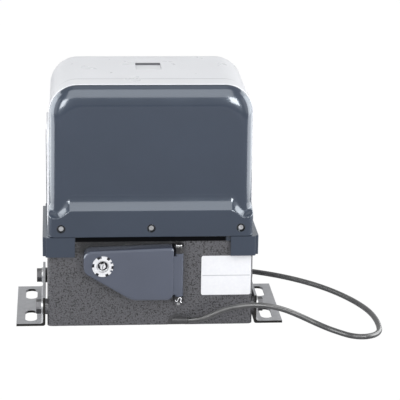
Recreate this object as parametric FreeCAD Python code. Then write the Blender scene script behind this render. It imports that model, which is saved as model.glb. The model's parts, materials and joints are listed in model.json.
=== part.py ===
import FreeCAD, Part
import math
import os

# Sliding gate motor, built as a bench assembly of separate pieces.
# Frame: origin on the ground at the centre of the base's footprint, X to the right of someone
# facing the release door, Y from that person towards the gate, Z up. All sizes are in mm.

V = FreeCAD.Vector
X_AXIS = V(1, 0, 0)
Y_AXIS = V(0, 1, 0)
Z_AXIS = V(0, 0, 1)

# Driving dimensions of the base casting
base_width = 260.0            # across, side wall to side wall
base_depth = 143.0            # front wall to back wall
base_top = 112.0              # height of the casting's rim
base_wall = 6.0
base_floor = 8.0
base_corner = 6.0             # radius of the upright corners
base_draft = 0.8              # how far each side leans in from floor to rim
bay_corner = 4.0              # radius of the upright corners inside

# Collar: the plastic band between the casting and the cover
collar_bottom = 94.0
collar_top = 119.5
collar_sink = 2.0             # step cut in the casting for the band
collar_proud = 1.6            # how far the band stands out of the casting
collar_ledge = 9.0            # width of the flat ledge that carries the cover
collar_ledge_thick = 3.0
collar_block_left = 35.0      # width of the two front corner blocks, the band is open between them
collar_block_right = 30.0
side_pad_proud = 3.4          # long pad on each side of the band
side_pad_lift = 0.8           # its bottom lies this much above the band's
side_pad_from_front = 3.5     # from the front of the corner block
side_pad_from_back = 13.5

# Cover: front panel, bezel and shell, all on the same drafted section
skirt_overhang = 8.0          # the skirt's front stands this far in front of the casting
skirt_inset = 2.0             # each side of the skirt is this far inside the casting's width
skirt_top = 154.0
skirt_corner = 9.0
skirt_inner_corner = 14.0
ramp_height = 20.0            # the ramp above the skirt runs back to the flat face
face_setback = 7.0            # the flat face lies this far behind the skirt's front
face_round_depth = 13.0       # depth of the rounding round the flat face
face_round_side = 16.0        # its width at the sides
face_round_top = 28.0         # its height at the top
scoop_radius = 7.0            # scoops that end the side roundings at the skirt's two corners
scoop_lift = 4.0              # the scoop's upper end lies this much in front of and above the ramp
ledge_run_on = 30.0           # spare length behind the panel, cut off at its rear plane
cover_inset_front = 5.0       # the cover's sides are this far inside the casting's width
cover_inset_back = 6.5
cover_top_front = 309.5       # height where the rounding ends
cover_top_back = 318.0
cover_corner_front = 35.0     # radius of the two top corners
cover_corner_back = 36.0
cover_side_draft = 2.0        # the sides stand this much further out at the bottom
cover_wall = 3.0
seam_from_face = 36.5         # from the flat face to the plane where the bezel meets the shell
seam_step = 0.6               # the bezel stands this much proud of the shell
cover_tail = 5.0              # the cover reaches this far behind the casting
cover_back_round = 9.0

# Side cheeks of the shell with their inlays, and the blank badge on top
cheek_from_seam = 10.0
cheek_from_back = 10.5
cheek_top = 250.0
cheek_proud = 3.8
cheek_radius = 26.0
inlay_margin = 12.0
inlay_top = 230.0
inlay_thick = 2.0
badge_width = 32.0
badge_depth = 30.0
badge_from_seam = 58.0
badge_sink = 1.2

# Cover screws along the skirt
cover_screw_inset = 18.0      # outer screws, from the casting's side
cover_screw_height = 131.0
cover_screw_recess_radius = 5.5
cover_screw_recess_depth = 4.0
cover_screw_head_radius = 3.1
cover_screw_head_height = 2.2
cover_screw_radius = 2.0
cover_screw_length = 20.0
screw_boss_radius = 7.6
screw_post_width = 16.0
screw_post_depth = 9.0

# Foot brackets, folded from sheet
bracket_sheet = 3.0
bracket_foot = 39.0           # the foot reaches this far out from the casting
bracket_end_inset = 1.2       # each end is this far inside the casting's depth
bracket_height = 37.5
bracket_stand_off = 2.5       # thickness of the casting pads behind the bracket
bracket_bend = 3.5            # inside radius of the fold
slot_width = 15.0
slot_length = 38.0
slot_end_inset = 29.45        # slot middle from the bracket's end
slot_from_casting = 20.7
bolt_end_inset = 11.5         # bolt from the casting's front and back
bolt_height = 22.5
bolt_radius = 5.0
bolt_flats = 16.0
bolt_head = 6.4
bolt_length = 22.0
washer_radius = 10.0
washer_thick = 2.0

# Drive: worm and wheel, output shaft and rack pinion
shaft_height = 65.0
wheel_module = 2.5
wheel_teeth = 30
wheel_width = 22.0
wheel_centre_y = 5.0
worm_pitch_radius = 12.5
worm_length = 46.0
gear_backlash = 0.5           # taken off each tooth and off the thread
root_clearance = 0.7
pressure_angle = 20.0
pinion_module = 4.0
pinion_teeth = 15
pinion_width = 25.0
pinion_gap = 8.5              # from the casting's back to the pinion
shaft_radius = 10.0
shaft_shoulder_radius = 12.5
key_width = 6.0
key_height = 6.0
running_gap = 0.05            # radial gap between a shaft and its bearing
seat_gap = 0.05               # gap between a ring and the seat that holds it
moving_gap = 0.4              # gap between pieces that move past each other
output_bearing_radius = 23.5
output_bearing_width = 14.0
seal_width = 7.0
pinion_bolt_radius = 4.0
pinion_bolt_flats = 13.0
pinion_bolt_head = 5.3
pinion_washer_radius = 15.0
pinion_washer_thick = 3.0

# Gear chamber inside the casting
chamber_wall = 8.0
chamber_wheel_gap = 6.0       # round the wheel's teeth
chamber_worm_gap = 5.0        # beside the worm
chamber_from_front = 37.5
chamber_from_back = 24.5
lid_thick = 8.0
lid_lip = 6.0
lid_screw_radius = 3.0
lid_screw_inset = 8.0
lid_screw_middle = 5.0
lid_boss_wall = 2.0

# Motor, standing on the gear chamber's lid with its shaft upright
rotor_radius = 28.0
stator_end_room = 16.0        # from the stator core to each end of the housing
air_gap = 0.5
stator_radius = 45.0
motor_housing_radius = 52.0
motor_housing_wall = 4.0
motor_housing_height = 92.0
motor_rib_count = 18
motor_rib_width = 2.4
motor_rib_proud = 3.0
rotor_bearing_radius = 17.5
rotor_bearing_width = 11.0
rotor_shaft_radius = 7.5
end_cap_height = 16.0
winding_height = 12.0

# Release door with its lock
door_depth = 20.0             # from the casting's front to the front plane of the door
door_back_gap = 0.4           # gap to the casting
door_left = -84.6
door_right = 28.0
door_top_left = 104.5
door_top_right = 108.5
door_left_low = 76.5          # where the left edge turns into the slanted edge
door_bottom = 39.5
door_bottom_left = -24.0      # where the slanted edge meets the bottom edge
door_skin = 2.5
door_edge_round = 3.0
door_opening_angle = 95.0
hinge_x = 34.5
hinge_depth = 11.0            # from the casting's front to the hinge axis
knuckle_radius = 6.0
hinge_pin_radius = 2.5
hinge_pin_gap = 0.1
lug_radius = 6.5
lower_lug_bottom = 36.0
lower_lug_top = 43.0
upper_lug_bottom = 100.5
upper_lug_top = 109.0
lock_x = -60.7
lock_z = 86.0
lock_barrel_radius = 9.7
lock_flange_radius = 13.25
lock_flange_thick = 2.0
lock_notch = 2.6
lock_notch_angles = (103.0, 167.0, 25.0, -30.0)
lock_mouth_radius = 7.0
lock_mouth_depth = 4.0
lock_plug_radius = 6.2
lock_nut_flats = 24.0
lock_nut_thick = 4.0
lock_cam_reach = 21.0
lock_cam_width = 10.0
lock_cam_thick = 2.5
keyhole_block_width = 5.6
keyhole_block_height = 8.0
keyhole_block_tilt = 12.0
lock_window_radius = 15.0

# Release pin that the closed door holds in
release_x = 8.0
release_z = 72.0
release_pin_radius = 5.0
release_collar_radius = 8.0
release_collar_thick = 4.0
release_travel = 8.0
release_spring_turns = 5
release_spring_wire = 1.2

# Limit switch behind the cover, above the rack
switch_width = 46.0
switch_bottom = 122.0
switch_height = 22.0
switch_reach = 18.5           # from the casting's back to the switch's back
lever_hub_radius = 6.0
lever_pivot_reach = 12.5      # from the casting's back to the lever's axis
lever_length = 46.0
lever_radius = 4.5
lever_coil_pitch = 3.0

# Electrics
board_width = 108.0
board_height = 118.0
board_thick = 1.6
board_from_side = 14.0
board_bottom = 140.0
board_from_front = 27.5
tray_wall = 2.5
tray_foot_left = -40.0
tray_foot_width = 29.5
tray_foot_depth = 18.0
transformer_gap = 4.0         # beside it in the left bay of the casting
transformer_depth = 52.0
transformer_height = 52.0
transformer_back_gap = 7.5
capacitor_radius = 18.0
capacitor_height = 78.0
capacitor_x = -24.0
capacitor_from_back = 37.5

# Label on the front of the base
label_width = 63.0
label_from_side = 3.0
label_bottom = 39.5
label_top = 91.5
label_corner = 2.5
label_thick = 0.3

# Mains cord
cord_diameter = 7.0
cord_notch_x = 33.0
cord_notch_half = 11.0
cord_notch_height = 14.0
relief_length = 22.0
relief_wide_radius = 4.9
relief_narrow_radius = 4.2
arc_share = 0.45              # share of the shorter run that an arc uses up
coil_turns = 3
coil_radius = 40.0            # middle of the turns
coil_centre = V(70.0, 178.5, 0.0)
plug_radius = 18.5
plug_body_length = 34.0
plug_relief_length = 26.0
plug_pin_radius = 2.4
plug_pin_spacing = 19.0
plug_pin_length = 19.0

# The cord's route from its strain relief to the coil, chosen by hand
cord_route = [
    V(48.0, -80.5, 9.0),
    V(61.0, -89.0, 12.0),
    V(75.0, -91.5, 19.5),
    V(91.0, -92.0, 26.5),
    V(108.0, -91.5, 30.5),
    V(127.0, -90.0, 32.0),
    V(147.0, -88.0, 30.0),
    V(167.0, -86.0, 24.5),
    V(186.0, -86.0, 16.5),
    V(204.0, -91.0, 9.0),
    V(222.0, -103.0, 4.2),
    V(236.0, -117.0, 3.5),
    V(248.0, -129.0, 3.5),
    V(263.0, -133.5, 3.5),
    V(278.0, -128.0, 3.5),
    V(287.0, -115.0, 3.5),
    V(289.5, -96.0, 3.5),
    V(290.0, -70.0, 3.5),
    V(286.0, -40.0, 3.5),
    V(275.0, -8.0, 3.5),
    V(258.0, 25.0, 3.5),
    V(236.0, 56.0, 3.5),
    V(210.0, 82.0, 3.5),
    V(182.0, 103.0, 3.5),
    V(152.0, 119.0, 3.5),
    V(124.0, 130.0, 3.5),
    V(98.0, 136.5, 3.5),
    V(76.0, 138.5, 3.5),
]

# Values that follow from the driving dimensions
base_half = base_width / 2.0
base_front = -base_depth / 2.0
base_back = base_depth / 2.0
collar_gap_left = -base_half + collar_block_left
collar_gap_right = base_half - collar_block_right
skirt_front = base_front - skirt_overhang
skirt_half = base_half - skirt_inset
ramp_top = skirt_top + ramp_height
face_front = skirt_front + face_setback
cover_half_front = base_half - cover_inset_front
cover_half_back = base_half - cover_inset_back
seam_front = face_front + seam_from_face
cover_back = base_back + cover_tail
cheek_front = seam_front + cheek_from_seam
cheek_back = cover_back - cheek_from_back
badge_centre_y = seam_front + badge_from_seam
side_pad_bottom = collar_bottom + side_pad_lift
side_pad_front = skirt_front + side_pad_from_front
side_pad_back = base_back - side_pad_from_back
cover_screw_places = (-base_half + cover_screw_inset, 0.0, base_half - cover_screw_inset)
bracket_reach = base_half + bracket_foot
bracket_length = base_depth - 2.0 * bracket_end_inset
slot_spacing = bracket_length - 2.0 * slot_end_inset
slot_centre = base_half + slot_from_casting
bolt_spacing = base_depth - 2.0 * bolt_end_inset
pinion_front = base_back + pinion_gap
door_front = base_front - door_depth
door_back = base_front - door_back_gap
hinge_y = base_front - hinge_depth
switch_back = base_back + switch_reach
lever_pivot_y = base_back + lever_pivot_reach
board_left = -base_half + board_from_side
board_y = base_front + board_from_front
label_right = base_half - label_from_side
label_left = label_right - label_width
wheel_pitch_radius = wheel_module * wheel_teeth / 2.0
worm_x = wheel_pitch_radius + worm_pitch_radius
chamber_left = -wheel_pitch_radius - wheel_module - chamber_wheel_gap
chamber_right = worm_x + worm_pitch_radius + wheel_module + chamber_worm_gap
chamber_front = base_front + chamber_from_front
chamber_back = base_back - chamber_from_back
left_bay_width = base_half - base_wall - chamber_wall + chamber_left
rotor_length = motor_housing_height - 2.0 * stator_end_room
transformer_width = left_bay_width - 2.0 * transformer_gap
transformer_x = -base_half + base_wall + left_bay_width / 2.0
transformer_y = base_back - base_wall - transformer_back_gap - transformer_depth / 2.0
capacitor_y = base_back - capacitor_from_back
worm_lead = math.pi * wheel_module
lid_top = base_top + lid_thick
pinion_tip_radius = pinion_module * (pinion_teeth / 2.0 + 1.0)
seal_back = base_back - 1.0
output_back_bearing = seal_back - seal_width - 1.0 - output_bearing_width
output_front_bearing = chamber_front
cord_radius = cord_diameter / 2.0
collar_half = base_half + collar_proud


def box(x0, x1, y0, y1, z0, z1):
    return Part.makeBox(x1 - x0, y1 - y0, z1 - z0, V(x0, y0, z0))


def cylinder(radius, length, start, direction):
    return Part.makeCylinder(radius, length, start, direction)


def ring(outer, inner, length, start, direction):
    return cylinder(outer, length, start, direction).cut(cylinder(inner, length, start, direction))


def rounded_outline(points, radii):
    """Closed wire through the corners, each rounded by its own radius."""
    edges = []
    starts = []
    ends = []
    count = len(points)
    for index in range(count):
        corner = points[index]
        before = (points[index - 1] - corner).normalize()
        after = (points[(index + 1) % count] - corner).normalize()
        radius = radii[index]
        half = before.getAngle(after) / 2.0
        reach = radius / math.tan(half)
        starts.append(corner + before * reach)
        ends.append(corner + after * reach)
        if radius > 0:
            middle_line = (before + after).normalize()
            middle = corner + middle_line * (radius / math.sin(half) - radius)
            edges.append((index, Part.Arc(starts[-1], middle, ends[-1]).toShape()))
    ordered = []
    arcs = dict(edges)
    for index in range(count):
        if index in arcs:
            ordered.append(arcs[index])
        following = (index + 1) % count
        ordered.append(Part.LineSegment(ends[index], starts[following]).toShape())
    return Part.Wire(ordered)


def upright_block(x0, x1, y0, y1, z0, z1, radius):
    """Block with its four upright edges rounded."""
    corners = [V(x0, y0, z0), V(x1, y0, z0), V(x1, y1, z0), V(x0, y1, z0)]
    return Part.Face(rounded_outline(corners, [radius] * 4)).extrude(V(0, 0, z1 - z0))


def drafted_block(half_x, half_y, z0, z1, radius, lean):
    """Block that leans in by the same amount on every side as it rises."""
    wires = []
    for level, inset in ((z0, 0.0), (z1, lean)):
        x = half_x - inset
        y = half_y - inset
        corners = [V(-x, -y, level), V(x, -y, level), V(x, y, level), V(-x, y, level)]
        wires.append(rounded_outline(corners, [radius] * 4))
    return Part.makeLoft(wires, True, True)


def hexagon(flats, thickness, start, direction):
    """Hexagonal prism across the given flats."""
    radius = flats / math.sqrt(3.0)
    points = []
    for index in range(7):
        angle = math.radians(60.0 * index + 30.0)
        points.append(V(radius * math.cos(angle), radius * math.sin(angle), 0))
    prism = Part.Face(Part.makePolygon(points)).extrude(V(0, 0, thickness))
    prism.Placement = FreeCAD.Placement(start, FreeCAD.Rotation(Z_AXIS, direction))
    return prism


def turned(profile, centre, direction):
    """Solid turned from (radius, distance along the axis) points."""
    points = [V(radius, 0, along) for radius, along in profile]
    points.append(points[0])
    solid = Part.Face(Part.makePolygon(points)).revolve(V(0, 0, 0), Z_AXIS, 360)
    solid.Placement = FreeCAD.Placement(centre, FreeCAD.Rotation(Z_AXIS, direction))
    return solid


def fuse_all(shapes):
    return shapes[0].fuse(shapes[1:]).removeSplitter()


def cut_all(shape, tools):
    return shape.cut(tools).removeSplitter()


def group(shapes):
    return Part.makeCompound(shapes)


def mirror_x(shape):
    return shape.mirror(V(0, 0, 0), X_AXIS)


def save(name, shape):
    for solid in shape.Solids:
        if not solid.isValid():
            print("not valid:", name)
    shape.exportStep("parts/" + name + ".step")
    print(name, len(shape.Solids), "solids,", round(shape.Volume / 1000.0, 2), "cm3")


# ---------------------------------------------------------------- base

def bay(x0, x1, y0, y1, z0):
    return upright_block(x0, x1, y0, y1, z0, base_top + 1.0, bay_corner)


def bracket_bolt_places(side):
    for along in (-bolt_spacing / 2.0, bolt_spacing / 2.0):
        yield V(side * (base_half + bracket_stand_off), along, bolt_height)


def hinge_lug(z0, z1):
    arm = box(hinge_x - lug_radius, hinge_x + lug_radius, hinge_y, base_front + 1.0, z0, z1)
    return arm.fuse(cylinder(lug_radius, z1 - z0, V(hinge_x, hinge_y, z0), Z_AXIS))


def notch_shape(y, depth, gap, bottom):
    """Arched notch for the cord, or with a gap the plug that fits it."""
    radius = cord_notch_half - gap
    level = cord_notch_height - cord_notch_half
    legs = box(cord_notch_x - radius, cord_notch_x + radius, y, y + depth, bottom, level)
    below = box(-base_width, base_width, y - 1.0, y + depth + 1.0, -base_width, bottom)
    return legs.fuse(cylinder(radius, depth, V(cord_notch_x, y, level), Y_AXIS)).cut(below)


def make_base_casting():
    body = drafted_block(base_half, base_depth / 2.0, 0, base_top, base_corner, base_draft)
    adds = [hinge_lug(lower_lug_bottom, lower_lug_top), hinge_lug(upper_lug_bottom, upper_lug_top)]
    for side in (-1, 1):
        for place in bracket_bolt_places(side):
            pad_start = V(side * (base_half - base_wall), place.y, place.z)
            adds.append(cylinder(washer_radius, base_wall + bracket_stand_off, pad_start, X_AXIS * side))
    body = fuse_all([body] + adds)

    # step for the collar, all round except at the open front
    inner_x = base_half - collar_sink
    inner_y = base_depth / 2.0 - collar_sink
    step = box(-base_width, base_width, -base_depth, base_depth, collar_bottom, base_top + 1.0)
    step = step.cut(upright_block(-inner_x, inner_x, -inner_y, inner_y, 0, base_top + 2.0, base_corner))
    step = step.cut(box(collar_gap_left, collar_gap_right, -base_depth, base_front + 20.0, 0,
                        base_top + 2.0))

    # bays round the gear chamber
    left_wall = chamber_left - chamber_wall
    right_wall = chamber_right + chamber_wall
    front_wall = chamber_front - chamber_wall
    in_x = base_half - base_wall
    in_front = base_front + base_wall
    in_back = base_back - base_wall
    cuts = [step]
    cuts.append(bay(-in_x, left_wall, in_front, in_back, base_floor))
    cuts.append(bay(right_wall, in_x, in_front, in_back, base_floor))
    cuts.append(bay(-in_x, in_x, in_front, front_wall, base_floor))
    cuts.append(bay(chamber_left, chamber_right, chamber_front + output_bearing_width + 1.0,
                    chamber_back, base_floor))
    cuts.append(bay(chamber_left, chamber_right, chamber_front, chamber_back, shaft_height + 32.0))

    # bearing seats of the output shaft, and the way through for the shaft
    seat_radius = output_bearing_radius + seat_gap
    cuts.append(cylinder(seat_radius, output_bearing_width + 2.0,
                         V(0, output_front_bearing, shaft_height), Y_AXIS))
    cuts.append(cylinder(seat_radius, base_back - output_back_bearing + 1.0,
                         V(0, output_back_bearing, shaft_height), Y_AXIS))
    cuts.append(cylinder(shaft_shoulder_radius + 4.0, base_depth / 2.0,
                         V(0, chamber_back - 1.0, shaft_height), Y_AXIS))

    # seat of the worm's lower bearing, cut from a boss on the chamber's floor
    cuts.append(cylinder(rotor_bearing_radius + seat_gap, rotor_bearing_width + 2.0,
                         V(worm_x, wheel_centre_y, base_floor), Z_AXIS))
    body = cut_all(body, cuts)

    # bracket bolt holes, hinge pin holes, lock window, release pin hole, cord notch, cable entry
    holes = []
    for side in (-1, 1):
        for place in bracket_bolt_places(side):
            holes.append(cylinder(bolt_radius + seat_gap, 2.0 * base_wall + bracket_stand_off,
                                  V(place.x, place.y, place.z), X_AXIS * -side))
    holes.append(cylinder(hinge_pin_radius + seat_gap, upper_lug_top + 2.0,
                          V(hinge_x, hinge_y, lower_lug_bottom - 1.0), Z_AXIS))
    window_start = V(lock_x, base_front - 1.0, lock_z)
    holes.append(cylinder(lock_window_radius, base_wall + 2.0, window_start, Y_AXIS))
    slot_half = lock_cam_width / 2.0 + 2.0
    slot_end = lock_z - lock_cam_reach - 1.0 + slot_half
    holes.append(box(lock_x - slot_half, lock_x + slot_half, base_front - 1.0,
                     base_front + base_wall + 1.0, slot_end, lock_z))
    holes.append(cylinder(slot_half, base_wall + 2.0, V(lock_x, base_front - 1.0, slot_end), Y_AXIS))
    holes.append(cylinder(release_pin_radius + running_gap, base_wall + 2.0,
                          V(release_x, base_front - 1.0, release_z), Y_AXIS))
    holes.append(notch_shape(base_front - 1.0, base_wall + 13.0, 0.0, -1.0))
    holes.append(box(right_wall + 6.0, in_x - 6.0, -30.0, 30.0, -1.0, base_floor + 1.0))
    return cut_all(body, holes)


def make_base_collar():
    half_y = base_depth / 2.0
    outer = upright_block(-collar_half, collar_half, -half_y - collar_proud, half_y + collar_proud,
                          collar_bottom, collar_top, base_corner)
    adds = []
    for side in (-1, 1):
        x0, x1 = sorted((side * collar_half, side * (collar_half - 12.0)))
        adds.append(upright_block(x0, x1, skirt_front, 0, collar_bottom, collar_top, 3.0))
        x0, x1 = sorted((side * (collar_half + side_pad_proud), side * (collar_half - 3.0)))
        adds.append(upright_block(x0, x1, side_pad_front, side_pad_back, side_pad_bottom, collar_top, 1.4))
    adds.append(box(-collar_half + 4.0, collar_gap_left, skirt_front, base_front, collar_bottom,
                    collar_top))
    adds.append(box(collar_gap_right, collar_half - 4.0, skirt_front, base_front, collar_bottom,
                    collar_top))
    body = fuse_all([outer] + adds)
    grip = base_half - collar_sink + seat_gap
    grip_y = half_y - collar_sink + seat_gap
    inner = upright_block(-grip, grip, -grip_y, grip_y, 0, base_top + seat_gap, base_corner)
    ledge_x = collar_half - collar_ledge
    ledge_y = half_y + collar_proud - collar_ledge
    opening = upright_block(-ledge_x, ledge_x, -ledge_y, ledge_y, 0, collar_top + 1.0, bay_corner)
    under_ledge = upright_block(-grip, grip, -grip_y, grip_y, 0, collar_top - collar_ledge_thick,
                                base_corner)
    front_gap = box(collar_gap_left, collar_gap_right, skirt_front - 1.0, base_front + 6.0,
                    0, base_top + seat_gap)
    body = cut_all(body, [inner, opening, under_ledge, front_gap])
    posts = []
    post_back = ledge_y * -1.0 + 1.0
    for x in cover_screw_places:
        post = box(x - screw_post_width / 2.0, x + screw_post_width / 2.0, post_back - screw_post_depth,
                   post_back, collar_top - collar_ledge_thick, cover_screw_height + 8.0)
        posts.append(post)
    body = fuse_all([body] + posts)
    holes = []
    for x in cover_screw_places:
        holes.append(cylinder(cover_screw_radius + seat_gap, screw_post_depth + 2.0,
                              V(x, post_back - screw_post_depth - 1.0, cover_screw_height), Y_AXIS))
    return cut_all(body, holes)


# ---------------------------------------------------------------- cover

def cover_share(y):
    """How far y lies from the end of the front rounding towards the back, 0 to 1."""
    start = face_front + face_round_depth
    return (y - start) / (cover_back - start)


def cover_section(y, side_inset, top_inset, shrink, bottom):
    """Upright section of the cover at y, open to the given bottom height."""
    share = cover_share(y)
    half_top = cover_half_front + share * (cover_half_back - cover_half_front) - side_inset - shrink
    half_bottom = half_top + cover_side_draft
    top = cover_top_front + share * (cover_top_back - cover_top_front) - top_inset - shrink
    corner = cover_corner_front + share * (cover_corner_back - cover_corner_front)
    corner = corner - shrink - 0.5 * side_inset
    corners = [V(-half_bottom, y, bottom), V(half_bottom, y, bottom), V(half_top, y, top),
               V(-half_top, y, top)]
    return rounded_outline(corners, [0, 0, corner, corner])


def quarter_steps(count):
    for index in range(count + 1):
        angle = math.radians(90.0 * index / count)
        yield 1.0 - math.sin(angle), 1.0 - math.cos(angle)


def face_loft(shrink, bottom, behind):
    """Front form: the flat face, its elliptical rounding and a short straight stretch behind."""
    wires = []
    for inset, depth in quarter_steps(4):
        y = face_front + shrink + depth * face_round_depth
        wires.append(cover_section(y, inset * face_round_side, inset * face_round_top, shrink, bottom))
    front = Part.makeLoft(wires, True, False)
    if behind > 0:
        y = face_front + shrink + face_round_depth
        wires = [cover_section(y, 0, 0, shrink, bottom), cover_section(y + behind, 0, 0, shrink, bottom)]
        front = front.fuse(Part.makeLoft(wires, True, True))
    return front


def ledge_outline(half, front, z, radius):
    """Flat outline with two rounded front corners, carried on behind the panel."""
    back = face_front + face_round_depth + ledge_run_on
    corners = [V(-half, front, z), V(half, front, z), V(half, back, z), V(-half, back, z)]
    return rounded_outline(corners, [radius, radius, 0, 0])


def flank_half(z):
    """Half width of the panel's drafted flank at height z."""
    drop = (cover_top_front - z) / (cover_top_front - collar_top)
    return cover_half_front + drop * cover_side_draft


def skirt_scoop():
    """Round-ended groove that runs down the right rounding and dips into the skirt's edge."""
    x = skirt_half - scoop_radius - 0.5
    high = V(x, face_front - scoop_lift, ramp_top + scoop_lift)
    low = V(x, skirt_front - scoop_radius / 2.0, skirt_top - 3.0)
    groove = cylinder(scoop_radius, (high - low).Length, low, high - low)
    end = Part.makeSphere(scoop_radius, low)
    return groove.fuse(end)


def make_cover_front_panel():
    seam = face_front + face_round_depth
    outer = face_loft(0, collar_top, 0)
    run_on = seam + ledge_run_on
    skirt = upright_block(-skirt_half, skirt_half, skirt_front, run_on, collar_top, skirt_top, skirt_corner)
    top_half = flank_half(ramp_top) - seat_gap
    ramp = Part.makeLoft([ledge_outline(skirt_half, skirt_front, skirt_top, skirt_corner),
                          ledge_outline(top_half, face_front + seat_gap, ramp_top,
                                        face_round_side)], True, True)
    behind = box(-base_width, base_width, seam, seam + 2.0 * ledge_run_on, 0, cover_top_back + 20.0)
    front = skirt.fuse(ramp).cut(behind)
    body = fuse_all([outer, front])
    scoop = skirt_scoop()
    body = cut_all(body, [scoop, mirror_x(scoop)])
    inner_skirt = upright_block(-skirt_half + cover_wall, skirt_half - cover_wall, skirt_front + cover_wall,
                                run_on, collar_top - 1.0, skirt_top - cover_wall, skirt_inner_corner)
    hollow = face_loft(cover_wall, skirt_top - cover_wall - 1.0, 6.0)
    body = cut_all(body, [hollow, inner_skirt, behind])
    bosses = []
    boss_length = cover_screw_recess_depth + 3.0
    for x in cover_screw_places:
        bosses.append(cylinder(screw_boss_radius, boss_length, V(x, skirt_front, cover_screw_height),
                               Y_AXIS))
    body = fuse_all([body] + bosses)
    holes = []
    for x in cover_screw_places:
        place = V(x, skirt_front - 1.0, cover_screw_height)
        holes.append(cylinder(cover_screw_recess_radius, cover_screw_recess_depth + 1.0, place, Y_AXIS))
        holes.append(cylinder(cover_screw_radius + 0.3, boss_length + 3.0, place, Y_AXIS))
    return cut_all(body, holes)


def cover_tube(y0, y1, shrink, bottom):
    wires = [cover_section(y0, 0, 0, shrink, bottom), cover_section(y1, 0, 0, shrink, bottom)]
    return Part.makeLoft(wires, True, True)


def make_cover_bezel():
    front = face_front + face_round_depth
    outer = cover_tube(front, seam_front, -seam_step, collar_top)
    inner = cover_tube(front - 1.0, seam_front + 1.0, cover_wall, collar_top - 1.0)
    return cut_all(outer, [inner])


def back_loft(shrink, bottom, start):
    """Rear form: straight from start, then rounded over to a flat back."""
    wires = []
    back = cover_back - shrink
    for inset, depth in quarter_steps(3):
        y = back - depth * cover_back_round
        wires.append(cover_section(y, inset * cover_back_round, inset * cover_back_round, shrink, bottom))
    rear = Part.makeLoft(wires, True, False)
    tube = cover_tube(start, back - cover_back_round, shrink, bottom)
    return tube.fuse(rear)


def cheek_outline(x, front, back, bottom, top, radius):
    points = [V(x, front, bottom), V(x, back, bottom), V(x, back, top), V(x, front, top)]
    return rounded_outline(points, [0, 0, radius, radius])


def cheek_block(front, back, bottom, top, radius, thickness):
    """Flat pad against the right flank, to be cut back to the flank's slope."""
    outer_x = cover_half_back + cover_side_draft + cheek_proud
    return Part.Face(cheek_outline(outer_x - thickness, front, back, bottom, top, radius)).extrude(
        V(thickness, 0, 0))


def make_cover_shell():
    outer = back_loft(0, collar_top, seam_front)
    cheek = cheek_block(cheek_front, cheek_back, collar_top, cheek_top, cheek_radius, 12.0)
    outer = fuse_all([outer, cheek, mirror_x(cheek)])
    inner = back_loft(cover_wall, collar_top - 1.0, seam_front - 1.0)
    switch_slot = box(-switch_width / 2.0 - 2.0, switch_width / 2.0 + 2.0, cover_back - 2.0 * cover_wall,
                      cover_back + 1.0,
                      collar_top - 1.0, switch_bottom + switch_height + 2.0)
    recess = cheek_block(cheek_front + inlay_margin, cheek_back - inlay_margin, collar_top - 1.0,
                         inlay_top, cheek_radius - inlay_margin / 2.0, inlay_thick)
    badge = box(-badge_width / 2.0, badge_width / 2.0, badge_centre_y - badge_depth / 2.0,
                badge_centre_y + badge_depth / 2.0, badge_floor(), cover_top_back + 5.0)
    return cut_all(outer, [inner, switch_slot, recess, mirror_x(recess), badge])


def badge_floor():
    front = badge_centre_y - badge_depth / 2.0
    return cover_top_front + cover_share(front) * (cover_top_back - cover_top_front) - badge_sink


def make_side_inlays():
    inlay = cheek_block(cheek_front + inlay_margin + seat_gap, cheek_back - inlay_margin - seat_gap,
                        collar_top, inlay_top - seat_gap, cheek_radius - inlay_margin / 2.0,
                        inlay_thick - seat_gap)
    return group([inlay, mirror_x(inlay)])


def make_top_badge():
    gap = 0.4
    return box(-badge_width / 2.0 + gap, badge_width / 2.0 - gap, badge_centre_y - badge_depth / 2.0 + gap,
               badge_centre_y + badge_depth / 2.0 - gap, badge_floor() + seat_gap,
               badge_floor() + badge_sink)


def make_cover_screws():
    screws = []
    for x in cover_screw_places:
        seat = V(x, skirt_front + cover_screw_recess_depth, cover_screw_height)
        head = cylinder(cover_screw_head_radius, cover_screw_head_height, seat, Y_AXIS * -1)
        shank = cylinder(cover_screw_radius, cover_screw_length, seat, Y_AXIS)
        top = seat.y - cover_screw_head_height
        cross = []
        for half_x, half_z in ((1.8, 0.4), (0.4, 1.8)):
            cross.append(box(x - half_x, x + half_x, top - 0.1, top + 1.1,
                             seat.z - half_z, seat.z + half_z))
        screws.append(cut_all(head.fuse(shank), cross))
    return group(screws)


# ---------------------------------------------------------------- brackets

def make_right_bracket():
    inner = base_half + bracket_stand_off
    outer_bend = bracket_bend + bracket_sheet
    y0 = -bracket_length / 2.0
    points = [V(inner, y0, 0), V(bracket_reach, y0, 0), V(bracket_reach, y0, bracket_sheet),
              V(inner + bracket_sheet, y0, bracket_sheet), V(inner + bracket_sheet, y0, bracket_height),
              V(inner, y0, bracket_height)]
    radii = [outer_bend - bracket_bend, 0, 0, bracket_bend, 0, 0]
    sheet = Part.Face(rounded_outline(points, radii)).extrude(V(0, bracket_length, 0))
    cuts = []
    for along in (-slot_spacing / 2.0, slot_spacing / 2.0):
        half = (slot_length - slot_width) / 2.0
        cuts.append(box(slot_centre - slot_width / 2.0, slot_centre + slot_width / 2.0,
                        along - half, along + half, -1.0, bracket_sheet + 1.0))
        for end in (-half, half):
            cuts.append(cylinder(slot_width / 2.0, bracket_sheet + 2.0,
                                 V(slot_centre, along + end, -1.0), Z_AXIS))
    for place in bracket_bolt_places(1):
        cuts.append(cylinder(bolt_radius + 0.5, bracket_sheet + 2.0, place - X_AXIS, X_AXIS))
    return cut_all(sheet, cuts)


def make_bracket_bolts():
    bolts = []
    for side in (-1, 1):
        for place in bracket_bolt_places(side):
            seat = place + X_AXIS * side * (bracket_sheet + washer_thick)
            head = hexagon(bolt_flats, bolt_head, seat, X_AXIS * side)
            shank = cylinder(bolt_radius, bolt_length, seat, X_AXIS * -side)
            bolts.append(head.fuse(shank))
    return group(bolts)


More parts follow.
